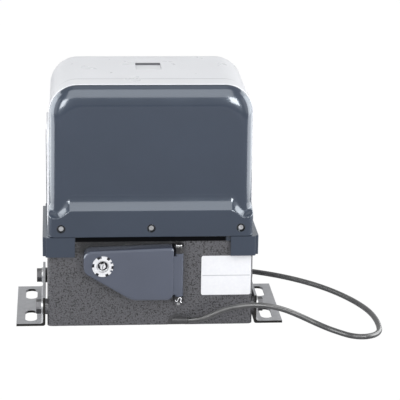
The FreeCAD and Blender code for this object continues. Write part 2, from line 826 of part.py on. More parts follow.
def make_bracket_washers():
    washers = []
    for side in (-1, 1):
        for place in bracket_bolt_places(side):
            seat = place + X_AXIS * side * bracket_sheet
            washers.append(ring(washer_radius, bolt_radius + 0.25, washer_thick, seat, X_AXIS * side))
    return group(washers)


# ---------------------------------------------------------------- gears

def involute(angle):
    return math.tan(angle) - angle


def gear_section(module, teeth, backlash, y, turn):
    """Tooth outline about the output shaft at y, with a gap centred on +X when turn is 0."""
    pitch_radius = module * teeth / 2.0
    base_radius = pitch_radius * math.cos(math.radians(pressure_angle))
    tip_radius = pitch_radius + module
    root_radius = pitch_radius - module - root_clearance
    start_radius = max(base_radius, root_radius)
    half_at_pitch = math.pi / (2.0 * teeth) - backlash / (2.0 * pitch_radius)
    half_at_base = half_at_pitch + involute(math.radians(pressure_angle))

    def point(radius, angle):
        return V(radius * math.cos(angle), y, shaft_height - radius * math.sin(angle))

    radii = [start_radius + (tip_radius - start_radius) * step / 4.0 for step in range(5)]
    offsets = []
    for radius in radii:
        offsets.append(half_at_base - involute(math.acos(min(1.0, base_radius / radius))))
    edges = []
    for tooth in range(teeth):
        middle = turn + (tooth + 0.5) * 2.0 * math.pi / teeth
        low = [point(radius, middle - offset) for radius, offset in zip(radii, offsets)]
        high = [point(radius, middle + offset) for radius, offset in zip(radii, offsets)]
        root_low = point(root_radius, middle - offsets[0])
        root_high = point(root_radius, middle + offsets[0])
        if start_radius > root_radius:
            edges.append(Part.LineSegment(root_low, low[0]).toShape())
        flank = Part.BSplineCurve()
        flank.interpolate(low)
        edges.append(flank.toShape())
        edges.append(Part.Arc(low[-1], point(tip_radius, middle), high[-1]).toShape())
        flank = Part.BSplineCurve()
        flank.interpolate(high[::-1])
        edges.append(flank.toShape())
        if start_radius > root_radius:
            edges.append(Part.LineSegment(high[0], root_high).toShape())
        following = middle + math.pi / teeth
        next_low = point(root_radius, middle + 2.0 * math.pi / teeth - offsets[0])
        edges.append(Part.Arc(root_high, point(root_radius, following), next_low).toShape())
    return Part.Wire(edges)


def along_shaft(y):
    return V(0, y, shaft_height)


def keyway(y0, y1, clearance):
    half = key_width / 2.0 + clearance
    return box(-half, half, y0, y1, shaft_height, shaft_height + shaft_key_top() + clearance)


def shaft_key_top():
    return shaft_radius + key_height / 2.0


def make_worm_wheel():
    y0 = wheel_centre_y - wheel_width / 2.0
    y1 = wheel_centre_y + wheel_width / 2.0
    slope = worm_lead / (2.0 * math.pi * worm_pitch_radius)
    turn_per_mm = slope / wheel_pitch_radius
    wires = []
    for y in (y0, y1):
        wires.append(gear_section(wheel_module, wheel_teeth, gear_backlash, y,
                                  (y - wheel_centre_y) * turn_per_mm))
    wheel = Part.makeLoft(wires, True, True)
    rim = wheel_pitch_radius - 9.0
    hub = shaft_radius + 8.0
    recess_depth = 5.0
    cuts = [cylinder(shaft_radius + seat_gap, wheel_width + 2.0, along_shaft(y0 - 1.0), Y_AXIS)]
    for start in (y0 - 1.0, y1 - recess_depth):
        cuts.append(ring(rim, hub, recess_depth + 1.0, along_shaft(start), Y_AXIS))
    cuts.append(keyway(y0 - 1.0, y1 + 1.0, seat_gap))
    return cut_all(wheel, cuts)


def make_wheel_key():
    half = key_width / 2.0
    low = shaft_height + shaft_radius - key_height / 2.0
    y0 = wheel_centre_y - wheel_width / 2.0 + 1.0
    y1 = wheel_centre_y + wheel_width / 2.0 - 1.0
    return box(-half, half, y0, y1, low, shaft_height + shaft_key_top())


def make_drive_pinion():
    wire = gear_section(pinion_module, pinion_teeth, gear_backlash, pinion_front, 0)
    pinion = Part.Face(wire).extrude(V(0, pinion_width, 0))
    cuts = [cylinder(shaft_radius + seat_gap, pinion_width + 2.0, along_shaft(pinion_front - 1.0), Y_AXIS)]
    cuts.append(keyway(pinion_front - 1.0, pinion_front + pinion_width + 1.0, seat_gap))
    return cut_all(pinion, cuts)


def make_pinion_key():
    half = key_width / 2.0
    low = shaft_height + shaft_radius - key_height / 2.0
    return box(-half, half, pinion_front + 1.0, pinion_front + pinion_width - 1.0,
               low, shaft_height + shaft_key_top())


def make_output_shaft():
    front = output_front_bearing + 1.0
    back = pinion_front + pinion_width - 1.0
    shaft = cylinder(shaft_radius, back - front, along_shaft(front), Y_AXIS)
    shoulder_front = wheel_centre_y + wheel_width / 2.0 + seat_gap
    shoulder_back = output_back_bearing - seat_gap
    shaft = shaft.fuse(cylinder(shaft_shoulder_radius, shoulder_back - shoulder_front,
                                along_shaft(shoulder_front), Y_AXIS))
    spacer_back = wheel_centre_y - wheel_width / 2.0 - seat_gap
    spacer_front = output_front_bearing + output_bearing_width + 1.0
    shaft = shaft.fuse(cylinder(shaft_shoulder_radius, spacer_back - spacer_front,
                                along_shaft(spacer_front), Y_AXIS))
    pinion_shoulder = pinion_front - seat_gap
    seal_end = seal_back + 1.0
    shaft = shaft.fuse(cylinder(shaft_shoulder_radius, pinion_shoulder - seal_end,
                                along_shaft(seal_end), Y_AXIS)).removeSplitter()
    half = key_width / 2.0 + seat_gap
    low = shaft_height + shaft_radius - key_height / 2.0 - seat_gap
    top = shaft_height + shaft_radius + 5.0
    wheel_front = wheel_centre_y - wheel_width / 2.0
    wheel_back = wheel_centre_y + wheel_width / 2.0
    cuts = [box(-half, half, wheel_front + 1.0 - seat_gap, wheel_back - 1.0 + seat_gap, low, top)]
    cuts.append(box(-half, half, pinion_front + 1.0 - seat_gap, back + 1.0, low, top))
    cuts.append(cylinder(pinion_bolt_radius + seat_gap, 24.0, along_shaft(back - 22.0), Y_AXIS))
    return cut_all(shaft, cuts)


def make_pinion_bolt():
    face = pinion_front + pinion_width + seat_gap
    washer_top = face + pinion_washer_thick
    washer = ring(pinion_washer_radius, pinion_bolt_radius + 0.2, pinion_washer_thick, along_shaft(face),
                  Y_AXIS)
    head = hexagon(pinion_bolt_flats, pinion_bolt_head, along_shaft(washer_top), Y_AXIS)
    shank = cylinder(pinion_bolt_radius, 20.0, along_shaft(washer_top - 20.0), Y_AXIS)
    return group([washer, head.fuse(shank)])


def bearing(outer, bore, width, start, direction):
    """Shielded ball bearing: two rings with a sunk shield between them."""
    land = (outer - bore) * 0.28
    sunk = 0.8
    profile = [(bore, 0), (bore + land, 0), (bore + land, sunk), (outer - land, sunk), (outer - land, 0),
               (outer, 0), (outer, width), (outer - land, width), (outer - land, width - sunk),
               (bore + land, width - sunk), (bore + land, width), (bore, width)]
    return turned(profile, start, direction)


def make_output_bearings():
    bore = shaft_radius + running_gap
    return group([bearing(output_bearing_radius, bore, output_bearing_width, along_shaft(start), Y_AXIS)
                  for start in (output_front_bearing, output_back_bearing)])


def make_oil_seal():
    bore = shaft_radius + running_gap
    outer = output_bearing_radius
    profile = [(bore, 0), (bore + 2.0, 0), (bore + 4.0, 5.0), (outer - 3.0, 5.0), (outer - 3.0, 0),
               (outer, 0),
               (outer, seal_width), (bore + 3.0, seal_width), (bore, 1.5)]
    return turned(profile, along_shaft(seal_back - seal_width), Y_AXIS)


# ---------------------------------------------------------------- motor

def at_worm(z):
    return V(worm_x, wheel_centre_y, z)


def make_gearbox_lid():
    margin = chamber_wall - 1.0
    plate = upright_block(chamber_left - margin, chamber_right + margin, chamber_front - margin,
                          chamber_back + margin, base_top + seat_gap, lid_top, bay_corner)
    lip = upright_block(chamber_left + moving_gap, chamber_right - moving_gap, chamber_front + moving_gap,
                        chamber_back - moving_gap, base_top - lid_lip, base_top + 1.0, bay_corner)
    boss = cylinder(rotor_bearing_radius + lid_boss_wall, lid_lip + 6.0, at_worm(upper_bearing_low()),
                    Z_AXIS)
    body = fuse_all([plate, lip, boss])
    cuts = [cylinder(rotor_bearing_radius + seat_gap, rotor_bearing_width, at_worm(upper_bearing_low()),
                     Z_AXIS)]
    cuts.append(cylinder(rotor_shaft_radius + 1.5, lid_thick + lid_lip + 9.0,
                         at_worm(upper_bearing_low() - 1.0), Z_AXIS))
    for place in lid_screw_places():
        cuts.append(cylinder(lid_screw_radius + 0.3, 3.0 * lid_thick, place - Z_AXIS * 2.0 * lid_thick,
                             Z_AXIS))
    return cut_all(body, cuts)


def lid_screw_places():
    left = chamber_left - chamber_wall / 2.0
    for x, y in ((left, chamber_front + lid_screw_inset), (left, chamber_back - lid_screw_inset),
                 (lid_screw_middle, chamber_front - chamber_wall / 2.0),
                 (lid_screw_middle, chamber_back + chamber_wall / 2.0)):
        yield V(x, y, lid_top)


def upper_bearing_low():
    return base_top - lid_lip - 5.0


def make_lid_screws():
    screws = []
    for place in lid_screw_places():
        head = cylinder(lid_screw_radius * 1.7, 4.0, place, Z_AXIS)
        socket = hexagon(5.0, 3.0, place + Z_AXIS * 1.5, Z_AXIS)
        shank = cylinder(lid_screw_radius, lid_thick, place, Z_AXIS * -1)
        screws.append(cut_all(head.fuse(shank), [socket]))
    return group(screws)


def make_motor_bearings():
    bore = rotor_shaft_radius + running_gap
    levels = (base_floor, upper_bearing_low(), motor_top() + 2.0)
    return group([bearing(rotor_bearing_radius, bore, rotor_bearing_width, at_worm(z),
                          Z_AXIS) for z in levels])


def motor_top():
    return lid_top + motor_housing_height


def rotor_low():
    return lid_top + (motor_housing_height - rotor_length) / 2.0


def make_rotor_shaft():
    low = base_floor + 1.0
    high = motor_top() + 2.0 + rotor_bearing_width + 1.0
    shaft = cylinder(rotor_shaft_radius, high - low, at_worm(low), Z_AXIS)
    root = worm_pitch_radius - wheel_module - root_clearance + 0.2
    tip = worm_pitch_radius + wheel_module
    core_low = shaft_height - worm_length / 2.0
    core = cylinder(root, worm_length, at_worm(core_low), Z_AXIS)

    # one thread, with its ridge level with the wheel's axis on the side that meets the wheel
    turns = 5
    start = shaft_height - worm_lead * (turns / 2.0)
    slope = math.tan(math.radians(pressure_angle))
    half = worm_lead / 4.0 - gear_backlash / 2.0
    inner = root - 0.6
    half_inner = half + (worm_pitch_radius - inner) * slope
    half_tip = half - wheel_module * slope
    spine = Part.makeHelix(worm_lead, worm_lead * turns, worm_pitch_radius)
    profile = Part.makePolygon([V(inner, 0, -half_inner), V(tip, 0, -half_tip), V(tip, 0, half_tip),
                                V(inner, 0, half_inner), V(inner, 0, -half_inner)])
    thread = spine.makePipeShell([profile], True, True)
    thread.translate(at_worm(start))
    return shaft.fuse([core, thread])


def make_rotor_core():
    outer = cylinder(rotor_radius, rotor_length, at_worm(rotor_low()), Z_AXIS)
    rings = []
    for z in (rotor_low() - 6.0, rotor_low() + rotor_length):
        rings.append(ring(rotor_radius - 2.0, rotor_shaft_radius + 8.0, 6.0, at_worm(z), Z_AXIS))
    bore = cylinder(rotor_shaft_radius, rotor_length + 14.0, at_worm(rotor_low() - 7.0), Z_AXIS)
    return cut_all(outer.fuse(rings), [bore])


def make_stator_core():
    return ring(stator_radius, rotor_radius + air_gap, rotor_length, at_worm(rotor_low()), Z_AXIS)


def make_stator_windings():
    coils = []
    middle = (stator_radius + rotor_radius) / 2.0 + 1.0
    for z in (rotor_low() - winding_height / 2.0, rotor_low() + rotor_length + winding_height / 2.0):
        profile = Part.Face(Part.Wire(Part.Circle(V(middle, 0, 0), Y_AXIS, winding_height / 2.0).toShape()))
        coil = profile.revolve(V(0, 0, 0), Z_AXIS, 360)
        coil.translate(at_worm(z))
        coils.append(coil)
    return group(coils)


def make_motor_housing():
    inner_radius = motor_housing_radius - motor_housing_wall
    foot = cylinder(motor_housing_radius + 2.0, 5.0, at_worm(lid_top), Z_AXIS)
    body = cylinder(motor_housing_radius, motor_housing_height, at_worm(lid_top), Z_AXIS)
    seat = cylinder(motor_housing_radius, rotor_length, at_worm(rotor_low()), Z_AXIS)
    ribs = []
    for index in range(motor_rib_count):
        rib = box(motor_housing_radius - 1.0, motor_housing_radius + motor_rib_proud,
                  -motor_rib_width / 2.0,
                  motor_rib_width / 2.0, 4.0, motor_housing_height - 6.0)
        rib.rotate(V(0, 0, 0), Z_AXIS, 360.0 * index / motor_rib_count)
        rib.translate(at_worm(lid_top))
        ribs.append(rib)
    body = fuse_all([body, foot, seat] + ribs)
    cuts = [cylinder(inner_radius, motor_housing_height, at_worm(lid_top + 3.0), Z_AXIS)]
    body = cut_all(body, cuts)
    sleeve = ring(inner_radius + 1.0, stator_radius, rotor_length, at_worm(rotor_low()), Z_AXIS)
    hole = cylinder(rotor_shaft_radius + 2.0, 10.0, at_worm(lid_top - 1.0), Z_AXIS)
    return cut_all(body.fuse(sleeve), [hole])


def make_motor_end_cap():
    cap = cylinder(motor_housing_radius, end_cap_height, at_worm(motor_top() + seat_gap), Z_AXIS)
    cap = cap.makeFillet(4.0, [edge for edge in cap.Edges if is_top_circle(edge, cap)])
    bore = cylinder(rotor_bearing_radius + seat_gap, rotor_bearing_width + 2.0, at_worm(motor_top()),
                    Z_AXIS)
    hollow = cylinder(motor_housing_radius - motor_housing_wall, 2.0, at_worm(motor_top()), Z_AXIS)
    hollow = hollow.cut(cylinder(rotor_bearing_radius + 5.0, 3.0, at_worm(motor_top()), Z_AXIS))
    way_out = cylinder(rotor_shaft_radius + 1.0, rotor_bearing_width + 8.0, at_worm(motor_top()), Z_AXIS)
    return cut_all(cap, [bore, hollow, way_out])


def is_top_circle(edge, solid):
    top = solid.BoundBox.ZMax
    return edge.Closed and abs(edge.BoundBox.ZMin - top) < 0.01 and abs(edge.BoundBox.ZMax - top) < 0.01


# ---------------------------------------------------------------- electrics

def make_board_tray():
    x0 = board_left - tray_wall - 1.0
    x1 = board_left + board_width + tray_wall + 1.0
    z0 = lid_top + seat_gap
    z1 = board_bottom + board_height + tray_wall + 1.0
    y0 = board_y + board_thick + 4.0
    back = box(x0, x1, y0, y0 + tray_wall, z0, z1)
    rim = box(x0, x1, board_y - 2.0, y0 + 1.0, board_bottom - tray_wall - 1.0, z1)
    rim = rim.cut(box(x0 + tray_wall, x1 - tray_wall, board_y - 3.0, y0 + 2.0, board_bottom - 1.0,
                      z1 - tray_wall))
    foot = box(tray_foot_left, tray_foot_left + tray_foot_width, y0, y0 + tray_foot_depth, z0, z0 + tray_wall)
    posts = []
    for place in board_screw_places():
        posts.append(cylinder(3.5, y0 - board_y - board_thick + 1.0, place + Y_AXIS * board_thick, Y_AXIS))
    body = fuse_all([back, rim, foot] + posts)
    holes = [cylinder(1.5, 6.0, place, Y_AXIS) for place in board_screw_places()]
    body = cut_all(body, holes)
    return body


def board_screw_places():
    inset = 6.0
    for x in (board_left + inset, board_left + board_width - inset):
        for z in (board_bottom + inset, board_bottom + board_height - inset):
            yield V(x, board_y, z)


def make_control_board():
    board = box(board_left, board_left + board_width, board_y, board_y + board_thick,
                board_bottom, board_bottom + board_height)
    holes = [cylinder(1.7, board_thick + 2.0, place - Y_AXIS, Y_AXIS) for place in board_screw_places()]
    return cut_all(board, holes)


def make_board_screws():
    screws = []
    for place in board_screw_places():
        head = cylinder(3.0, 2.0, place - Y_AXIS * 2.0, Y_AXIS)
        screws.append(head.fuse(cylinder(1.4, board_thick + 3.5, place - Y_AXIS * 0.5, Y_AXIS)))
    return group(screws)


def make_terminal_blocks():
    blocks = []
    pole = 5.08
    for x0, poles in ((board_left + 14.0, 9), (board_left + 66.0, 5)):
        length = poles * pole
        block = box(x0, x0 + length, board_y - 10.0, board_y, board_bottom + 12.0, board_bottom + 22.0)
        cuts = []
        for index in range(poles):
            x = x0 + (index + 0.5) * pole
            cuts.append(cylinder(1.7, 4.0, V(x, board_y - 11.0, board_bottom + 18.0), Y_AXIS))
            cuts.append(box(x - 1.6, x + 1.6, board_y - 7.0, board_y - 2.0, board_bottom + 11.0,
                            board_bottom + 16.0))
        blocks.append(cut_all(block, cuts))
    return group(blocks)


def make_relays():
    relays = []
    for index in range(3):
        x0 = board_left + 16.0 + index * 24.0
        relays.append(box(x0, x0 + 18.0, board_y - 15.0, board_y, board_bottom + 34.0, board_bottom + 56.0))
    return group(relays)


def make_transformer():
    base = base_floor + seat_gap
    x0 = transformer_x - transformer_width / 2.0
    x1 = transformer_x + transformer_width / 2.0
    core = box(x0, x1, transformer_y - 15.0, transformer_y + 15.0, base, base + transformer_height)
    bobbin = box(x0 + 11.0, x1 - 11.0, transformer_y - transformer_depth / 2.0,
                 transformer_y + transformer_depth / 2.0, base + 9.0, base + transformer_height - 9.0)
    return group([core.cut(bobbin), bobbin])


def make_capacitor():
    start = V(capacitor_x, capacitor_y, lid_top + 3.0)
    can = cylinder(capacitor_radius, capacitor_height, start, Z_AXIS)
    can = can.makeFillet(2.0, [edge for edge in can.Edges if is_top_circle(edge, can)])
    tabs = []
    for dx in (-5.0, 5.0):
        tabs.append(box(start.x + dx - 0.4, start.x + dx + 0.4, start.y - 3.2, start.y + 3.2,
                        start.z + capacitor_height - 0.5, start.z + capacitor_height + 8.0))
    return fuse_all([can] + tabs)


def make_capacitor_clip():
    start = V(capacitor_x, capacitor_y, lid_top + seat_gap)
    cup = ring(capacitor_radius + 2.5, capacitor_radius + seat_gap, 18.0, start, Z_AXIS)
    floor = cylinder(capacitor_radius + 2.5, 3.0 - 2.0 * seat_gap, start, Z_AXIS)
    slit = box(start.x - 2.0, start.x + 2.0, start.y, start.y + capacitor_radius + 5.0, start.z + 4.0,
               start.z + 20.0)
    return cut_all(cup.fuse(floor), [slit])


def make_limit_switch_housing():
    half = switch_width / 2.0
    y0 = base_back - 14.0
    z0 = switch_bottom
    z1 = switch_bottom + switch_height
    body = upright_block(-half, half, y0, switch_back, z0, z1, 3.0)
    foot = box(-half + 4.0, half - 4.0, y0, base_back, collar_top, z0 + 1.0)
    body = fuse_all([body, foot])
    mouth = cylinder(lever_hub_radius + moving_gap, switch_height - 6.0, V(0, lever_pivot_y, z0 + 3.0),
                     Z_AXIS)
    fan = box(-half + 8.0, half - 8.0, lever_pivot_y, switch_back + 1.0, z0 + 3.0, z1 - 3.0)
    return cut_all(body, [mouth, fan])


def make_limit_lever_hub():
    gap = moving_gap
    low = switch_bottom + 3.0 + gap
    hub = cylinder(lever_hub_radius, switch_height - 6.0 - 2.0 * gap, V(0, lever_pivot_y, low), Z_AXIS)
    middle = switch_bottom + switch_height / 2.0
    socket = cylinder(lever_radius + 0.6, 10.0, V(0, lever_pivot_y, middle), Y_AXIS)
    hole = cylinder(lever_radius - 1.2, 20.0, V(0, lever_pivot_y + 3.0, middle), Y_AXIS)
    return cut_all(hub.fuse(socket), [hole])


def make_limit_lever_rod():
    """Close-wound spring rod with a plain stem in the hub and a rounded tip."""
    stem_radius = lever_radius - 1.2 - seat_gap
    stem_end = 7.0
    profile = [(0, 0.2), (stem_radius, 0.2), (stem_radius, stem_end + 0.1)]
    turns = int((lever_length - stem_end) / lever_coil_pitch)
    for index in range(turns):
        low = stem_end + 0.1 + index * lever_coil_pitch
        profile.append((lever_radius - 1.0, low))
        profile.append((lever_radius, low + lever_coil_pitch * 0.3))
        profile.append((lever_radius, low + lever_coil_pitch * 0.7))
    end = stem_end + 0.1 + turns * lever_coil_pitch
    profile.append((lever_radius - 1.0, end))
    profile.append((lever_radius, end + 1.0))
    profile.append((lever_radius, end + 6.0))
    profile.append((lever_radius - 2.0, end + 8.0))
    profile.append((0, end + 8.0))
    middle = switch_bottom + switch_height / 2.0
    return turned(profile, V(0, lever_pivot_y + 3.0, middle), Y_AXIS)


# ---------------------------------------------------------------- release door and lock

def door_outline(inset, y):
    """Outline of the door, drawn in by inset, in the plane at y."""
    slant = math.atan2(door_left_low - door_bottom, door_bottom_left - door_left)
    slide = inset * math.tan((math.pi / 2.0 - slant) / 2.0)
    bottom_slide = inset * math.tan(slant / 2.0)
    points = [V(door_left + inset, y, door_left_low + slide),
              V(door_bottom_left + bottom_slide, y, door_bottom + inset),
              V(door_right - inset, y, door_bottom + inset),
              V(door_right - inset, y, door_top_right - inset),
              V(door_left + inset, y, door_top_left - inset)]
    radii = [12.0 - inset, 24.0, 9.0 - inset, 4.0 - inset, 10.0 - inset]
    return rounded_outline(points, radii)


def make_release_door():
    wires = []
    for inset, depth in quarter_steps(3):
        wires.append(door_outline(inset * door_edge_round, door_front + depth * door_edge_round))
    nose = Part.makeLoft(wires, True, True)
    body_wire = door_outline(0, door_front + door_edge_round)
    body = Part.Face(body_wire).extrude(V(0, door_back - door_front - door_edge_round, 0))
    body = fuse_all([nose, body])
    hollow = Part.Face(door_outline(door_skin, door_front + door_skin)).extrude(V(0,
            door_back - door_front, 0))
    body = cut_all(body, [hollow])
    knuckle_low = lower_lug_top + moving_gap
    knuckle_high = upper_lug_bottom - moving_gap
    knuckle = cylinder(knuckle_radius, knuckle_high - knuckle_low, V(hinge_x, hinge_y, knuckle_low), Z_AXIS)
    web = box(door_right - door_skin, hinge_x, hinge_y - knuckle_radius, hinge_y + 3.0, knuckle_low + 3.0,
              knuckle_high - 3.0)
    ribs = [box(door_left + 40.0, door_right - 1.0, door_front + 1.0, door_back - 6.0, z, z + 2.0)
            for z in (62.0, 98.0)]
    boss = cylinder(lock_barrel_radius + 3.0, 6.0, V(lock_x, door_front + 1.0, lock_z), Y_AXIS)
    body = fuse_all([body, knuckle, web] + ribs)
    body = body.fuse(boss.common(Part.Face(door_outline(0.5, door_front + 1.0)).extrude(V(0,
            door_skin - 1.0, 0))))
    cuts = [cylinder(lock_barrel_radius + seat_gap, 30.0, V(lock_x, door_front - 1.0, lock_z), Y_AXIS)]
    cuts.append(cylinder(hinge_pin_radius + hinge_pin_gap, base_top, V(hinge_x, hinge_y, 0), Z_AXIS))
    cuts.append(cylinder(lock_nut_flats / math.sqrt(3.0) + 1.0, 30.0,
                         V(lock_x, door_front + door_skin, lock_z), Y_AXIS))
    return cut_all(body, cuts)


def at_lock(y):
    return V(lock_x, y, lock_z)


def make_lock_barrel():
    back = base_front + base_wall - 1.0
    flange = cylinder(lock_flange_radius, lock_flange_thick, at_lock(door_front - lock_flange_thick),
                      Y_AXIS)
    barrel = cylinder(lock_barrel_radius, back - door_front + 1.0, at_lock(door_front - 1.0), Y_AXIS)
    body = fuse_all([flange, barrel])
    front = door_front - lock_flange_thick
    cuts = [cylinder(lock_mouth_radius, lock_mouth_depth + 1.0, at_lock(front - 1.0), Y_AXIS)]
    cuts.append(cylinder(lock_plug_radius + running_gap, 60.0, at_lock(front - 1.0), Y_AXIS))
    for angle in lock_notch_angles:
        notch = box(lock_flange_radius - lock_notch, lock_flange_radius + 2.0, front - 1.0, door_front,
                    -lock_notch / 2.0, lock_notch / 2.0)
        notch.rotate(V(0, 0, 0), Y_AXIS, -angle)
        notch.translate(V(lock_x, 0, lock_z))
        cuts.append(notch)
    return cut_all(body, cuts)


def make_lock_nut():
    start = at_lock(door_front + door_skin + seat_gap)
    nut = hexagon(lock_nut_flats, lock_nut_thick, start, Y_AXIS)
    return nut.cut(cylinder(lock_barrel_radius + seat_gap, lock_nut_thick + 2.0, start - Y_AXIS, Y_AXIS))


def cam_front():
    return base_front + base_wall + moving_gap


def make_lock_plug():
    mouth_floor = door_front - lock_flange_thick + lock_mouth_depth
    back = base_front + base_wall - 1.0
    plug = cylinder(lock_plug_radius, back - mouth_floor, at_lock(mouth_floor), Y_AXIS)
    stem = cylinder(3.5, cam_front() + lock_cam_thick - back, at_lock(back), Y_AXIS)
    collar = cylinder(lock_plug_radius, cam_front() - back - 0.1, at_lock(back), Y_AXIS)
    front = door_front - lock_flange_thick + 0.6
    block = box(-keyhole_block_width / 2.0, keyhole_block_width / 2.0, front, mouth_floor + 1.0,
                -keyhole_block_height / 2.0, keyhole_block_height / 2.0)
    block.rotate(V(0, 0, 0), Y_AXIS, keyhole_block_tilt)
    block.translate(V(lock_x, 0, lock_z))
    body = fuse_all([plug, stem, collar, block])
    slot = box(-0.7, 0.7, front - 1.0, front + 8.0, -2.8, 2.8)
    slot.rotate(V(0, 0, 0), Y_AXIS, keyhole_block_tilt)
    slot.translate(V(lock_x, 0, lock_z))
    screw_hole = cylinder(1.6, 12.0, at_lock(cam_front() + lock_cam_thick - 11.0), Y_AXIS)
    return cut_all(body, [slot, screw_hole])


def make_lock_cam():
    half = lock_cam_width / 2.0
    y0 = cam_front()
    disc = cylinder(half + 1.0, lock_cam_thick, at_lock(y0), Y_AXIS)
    arm = box(lock_x - half + 1.0, lock_x + half - 1.0, y0, y0 + lock_cam_thick, lock_z - lock_cam_reach,
              lock_z)
    return cut_all(disc.fuse(arm), [cylinder(3.5 + seat_gap, 6.0, at_lock(y0 - 1.0), Y_AXIS)])


def make_cam_screw():
    start = at_lock(cam_front() + lock_cam_thick + seat_gap)
    head = cylinder(5.0, 2.5, start, Y_AXIS)
    shank = cylinder(1.5, 9.0, start, Y_AXIS * -1)
    slot = box(lock_x - 6.0, lock_x + 6.0, start.y + 1.5, start.y + 3.0, lock_z - 0.5, lock_z + 0.5)
    return cut_all(head.fuse(shank), [slot])


def make_hinge_pin():
    top = upper_lug_top
    pin = cylinder(hinge_pin_radius, top - lower_lug_bottom + 5.0,
                   V(hinge_x, hinge_y, lower_lug_bottom - 5.0), Z_AXIS)
    head = cylinder(4.6, 2.2, V(hinge_x, hinge_y, top), Z_AXIS)
    head = head.makeFillet(1.0, [edge for edge in head.Edges if is_top_circle(edge, head)])
    groove = ring(hinge_pin_radius + 1.0, hinge_pin_radius - 0.6, 1.0,
                  V(hinge_x, hinge_y, lower_lug_bottom - 2.2), Z_AXIS)
    return cut_all(pin.fuse(head), [groove])


def make_hinge_clip():
    low = lower_lug_bottom - 2.1
    body = ring(5.2, hinge_pin_radius - 0.55, 0.8, V(hinge_x, hinge_y, low), Z_AXIS)
    mouth = box(hinge_x - 1.6, hinge_x + 1.6, hinge_y - 8.0, hinge_y, low - 1.0, low + 2.0)
    return body.cut(mouth)


def at_release(y):
    return V(release_x, y, release_z)


def make_release_pin():
    front = door_front + door_skin + moving_gap + 6.0
    collar_front = base_front + base_wall + release_travel + moving_gap
    back = chamber_front - chamber_wall - 2.0
    pin = cylinder(release_pin_radius, back - front, at_release(front), Y_AXIS)
    pin = pin.fuse(cylinder(release_collar_radius, release_collar_thick, at_release(collar_front), Y_AXIS))
    return pin.removeSplitter()


def release_spring_start():
    return base_front + base_wall + release_travel + moving_gap + release_collar_thick + 0.2


def make_release_spring():
    start = release_spring_start()
    length = chamber_front - chamber_wall - start
    wire_radius = release_spring_wire / 2.0
    middle = release_pin_radius + 1.0 + wire_radius
    pitch = (length - 2.0 * release_spring_wire) / release_spring_turns
    spine = Part.makeHelix(pitch, pitch * release_spring_turns, middle)
    section = Part.Wire(Part.Circle(V(middle, 0, 0), Y_AXIS, wire_radius).toShape())
    spring = spine.makePipeShell([section], True, True)
    spring.Placement = FreeCAD.Placement(at_release(start + release_spring_wire),
                                         FreeCAD.Rotation(Z_AXIS, Y_AXIS))
    return spring


def make_rating_label():
    y = base_front - label_thick
    points = [V(label_left, y, label_bottom), V(label_right, y, label_bottom),
              V(label_right, y, label_top), V(label_left, y, label_top)]
    label = Part.Face(rounded_outline(points, [label_corner] * 4)).extrude(V(0, label_thick + 1.0, 0))
    wall = drafted_block(base_half, base_depth / 2.0, 0, base_top, base_corner, base_draft)
    return label.cut(wall)


# ---------------------------------------------------------------- cord

def route_wire(points):
    """Straight runs joined by tangent arcs, and the radius of each arc."""
    edges = []
    radii = []
    here = points[0]
    for index in range(1, len(points) - 1):
        corner = points[index]
        back = points[index - 1] - corner
        ahead = points[index + 1] - corner
        reach = arc_share * min(back.Length, ahead.Length)
        back.normalize()
        ahead.normalize()
        half_turn = (math.pi - back.getAngle(ahead)) / 2.0
        radius = reach / math.tan(half_turn)
        radii.append(radius)
        start = corner + back * reach
        end = corner + ahead * reach
        inward = (back + ahead).normalize()
        middle = corner + inward * (radius / math.cos(half_turn) - radius)
        edges.append(Part.LineSegment(here, start).toShape())
        edges.append(Part.Arc(start, middle, end).toShape())
        here = end
    edges.append(Part.LineSegment(here, points[-1]).toShape())
    return Part.Wire(edges), radii


def cord_tube(points):
    wire, radii = route_wire(points)
    direction = points[1] - points[0]
    section = Part.Wire(Part.Circle(points[0], direction, cord_radius).toShape())
    tube = wire.makePipeShell([section], True, False)
    swept = math.pi * cord_radius ** 2 * wire.Length
    print("cord: length", round(wire.Length, 1), "volume over swept", round(tube.Volume / swept, 4),
          "radii", [round(radius) for radius in radii])
    return tube


def tail_route():
    """From the coil's top layer to the plug's strain relief."""
    start = V(coil_centre.x - 22.0, coil_centre.y - coil_radius - 4.0, 3.0 * cord_radius)
    end = plug_start()
    middle = V((start.x + end.x) / 2.0 + 1.0, end.y - 1.0, (start.z + end.z) / 2.0 + 1.5)
    return [start, middle, end]


def plug_start():
    return V(coil_centre.x - 66.0, coil_centre.y - coil_radius - 1.0, plug_radius)


def make_mains_cord_run():
    return group([cord_tube(cord_route), cord_tube(tail_route())])


def make_mains_cord_coil():
    low = coil_radius - cord_diameter
    high = coil_radius + cord_diameter
    top = 2.0 * cord_diameter
    chamfer = cord_radius
    profile = [(low + 1.5, 0), (high - 1.5, 0), (high, 1.5), (high, cord_diameter), (high - chamfer, top),
               (low + chamfer, top), (low, cord_diameter), (low, 1.5)]
    return turned(profile, coil_centre, Z_AXIS)


def make_cord_relief():
    """Rubber plug in the notch with a tapered sleeve that points along the cord."""
    end = cord_route[0]
    direction = (cord_route[1] - end).normalize()
    start = end - direction * relief_length
    sleeve = Part.makeCone(relief_wide_radius, relief_narrow_radius, relief_length, start, direction)
    return fuse_all([notch_shape(base_front + 0.5, base_wall - 1.0, seat_gap, 0.0), sleeve])


def make_mains_plug():
    end = plug_start()
    direction = X_AXIS * -1
    relief = Part.makeCone(cord_radius + 1.2, 8.0, plug_relief_length, end, direction)
    body_start = end + direction * plug_relief_length
    body = turned([(0, 0), (9.0, 0), (14.0, 8.0), (plug_radius, 16.0), (plug_radius, plug_body_length),
                   (0, plug_body_length)], body_start, direction)
    return relief.fuse(body).removeSplitter()


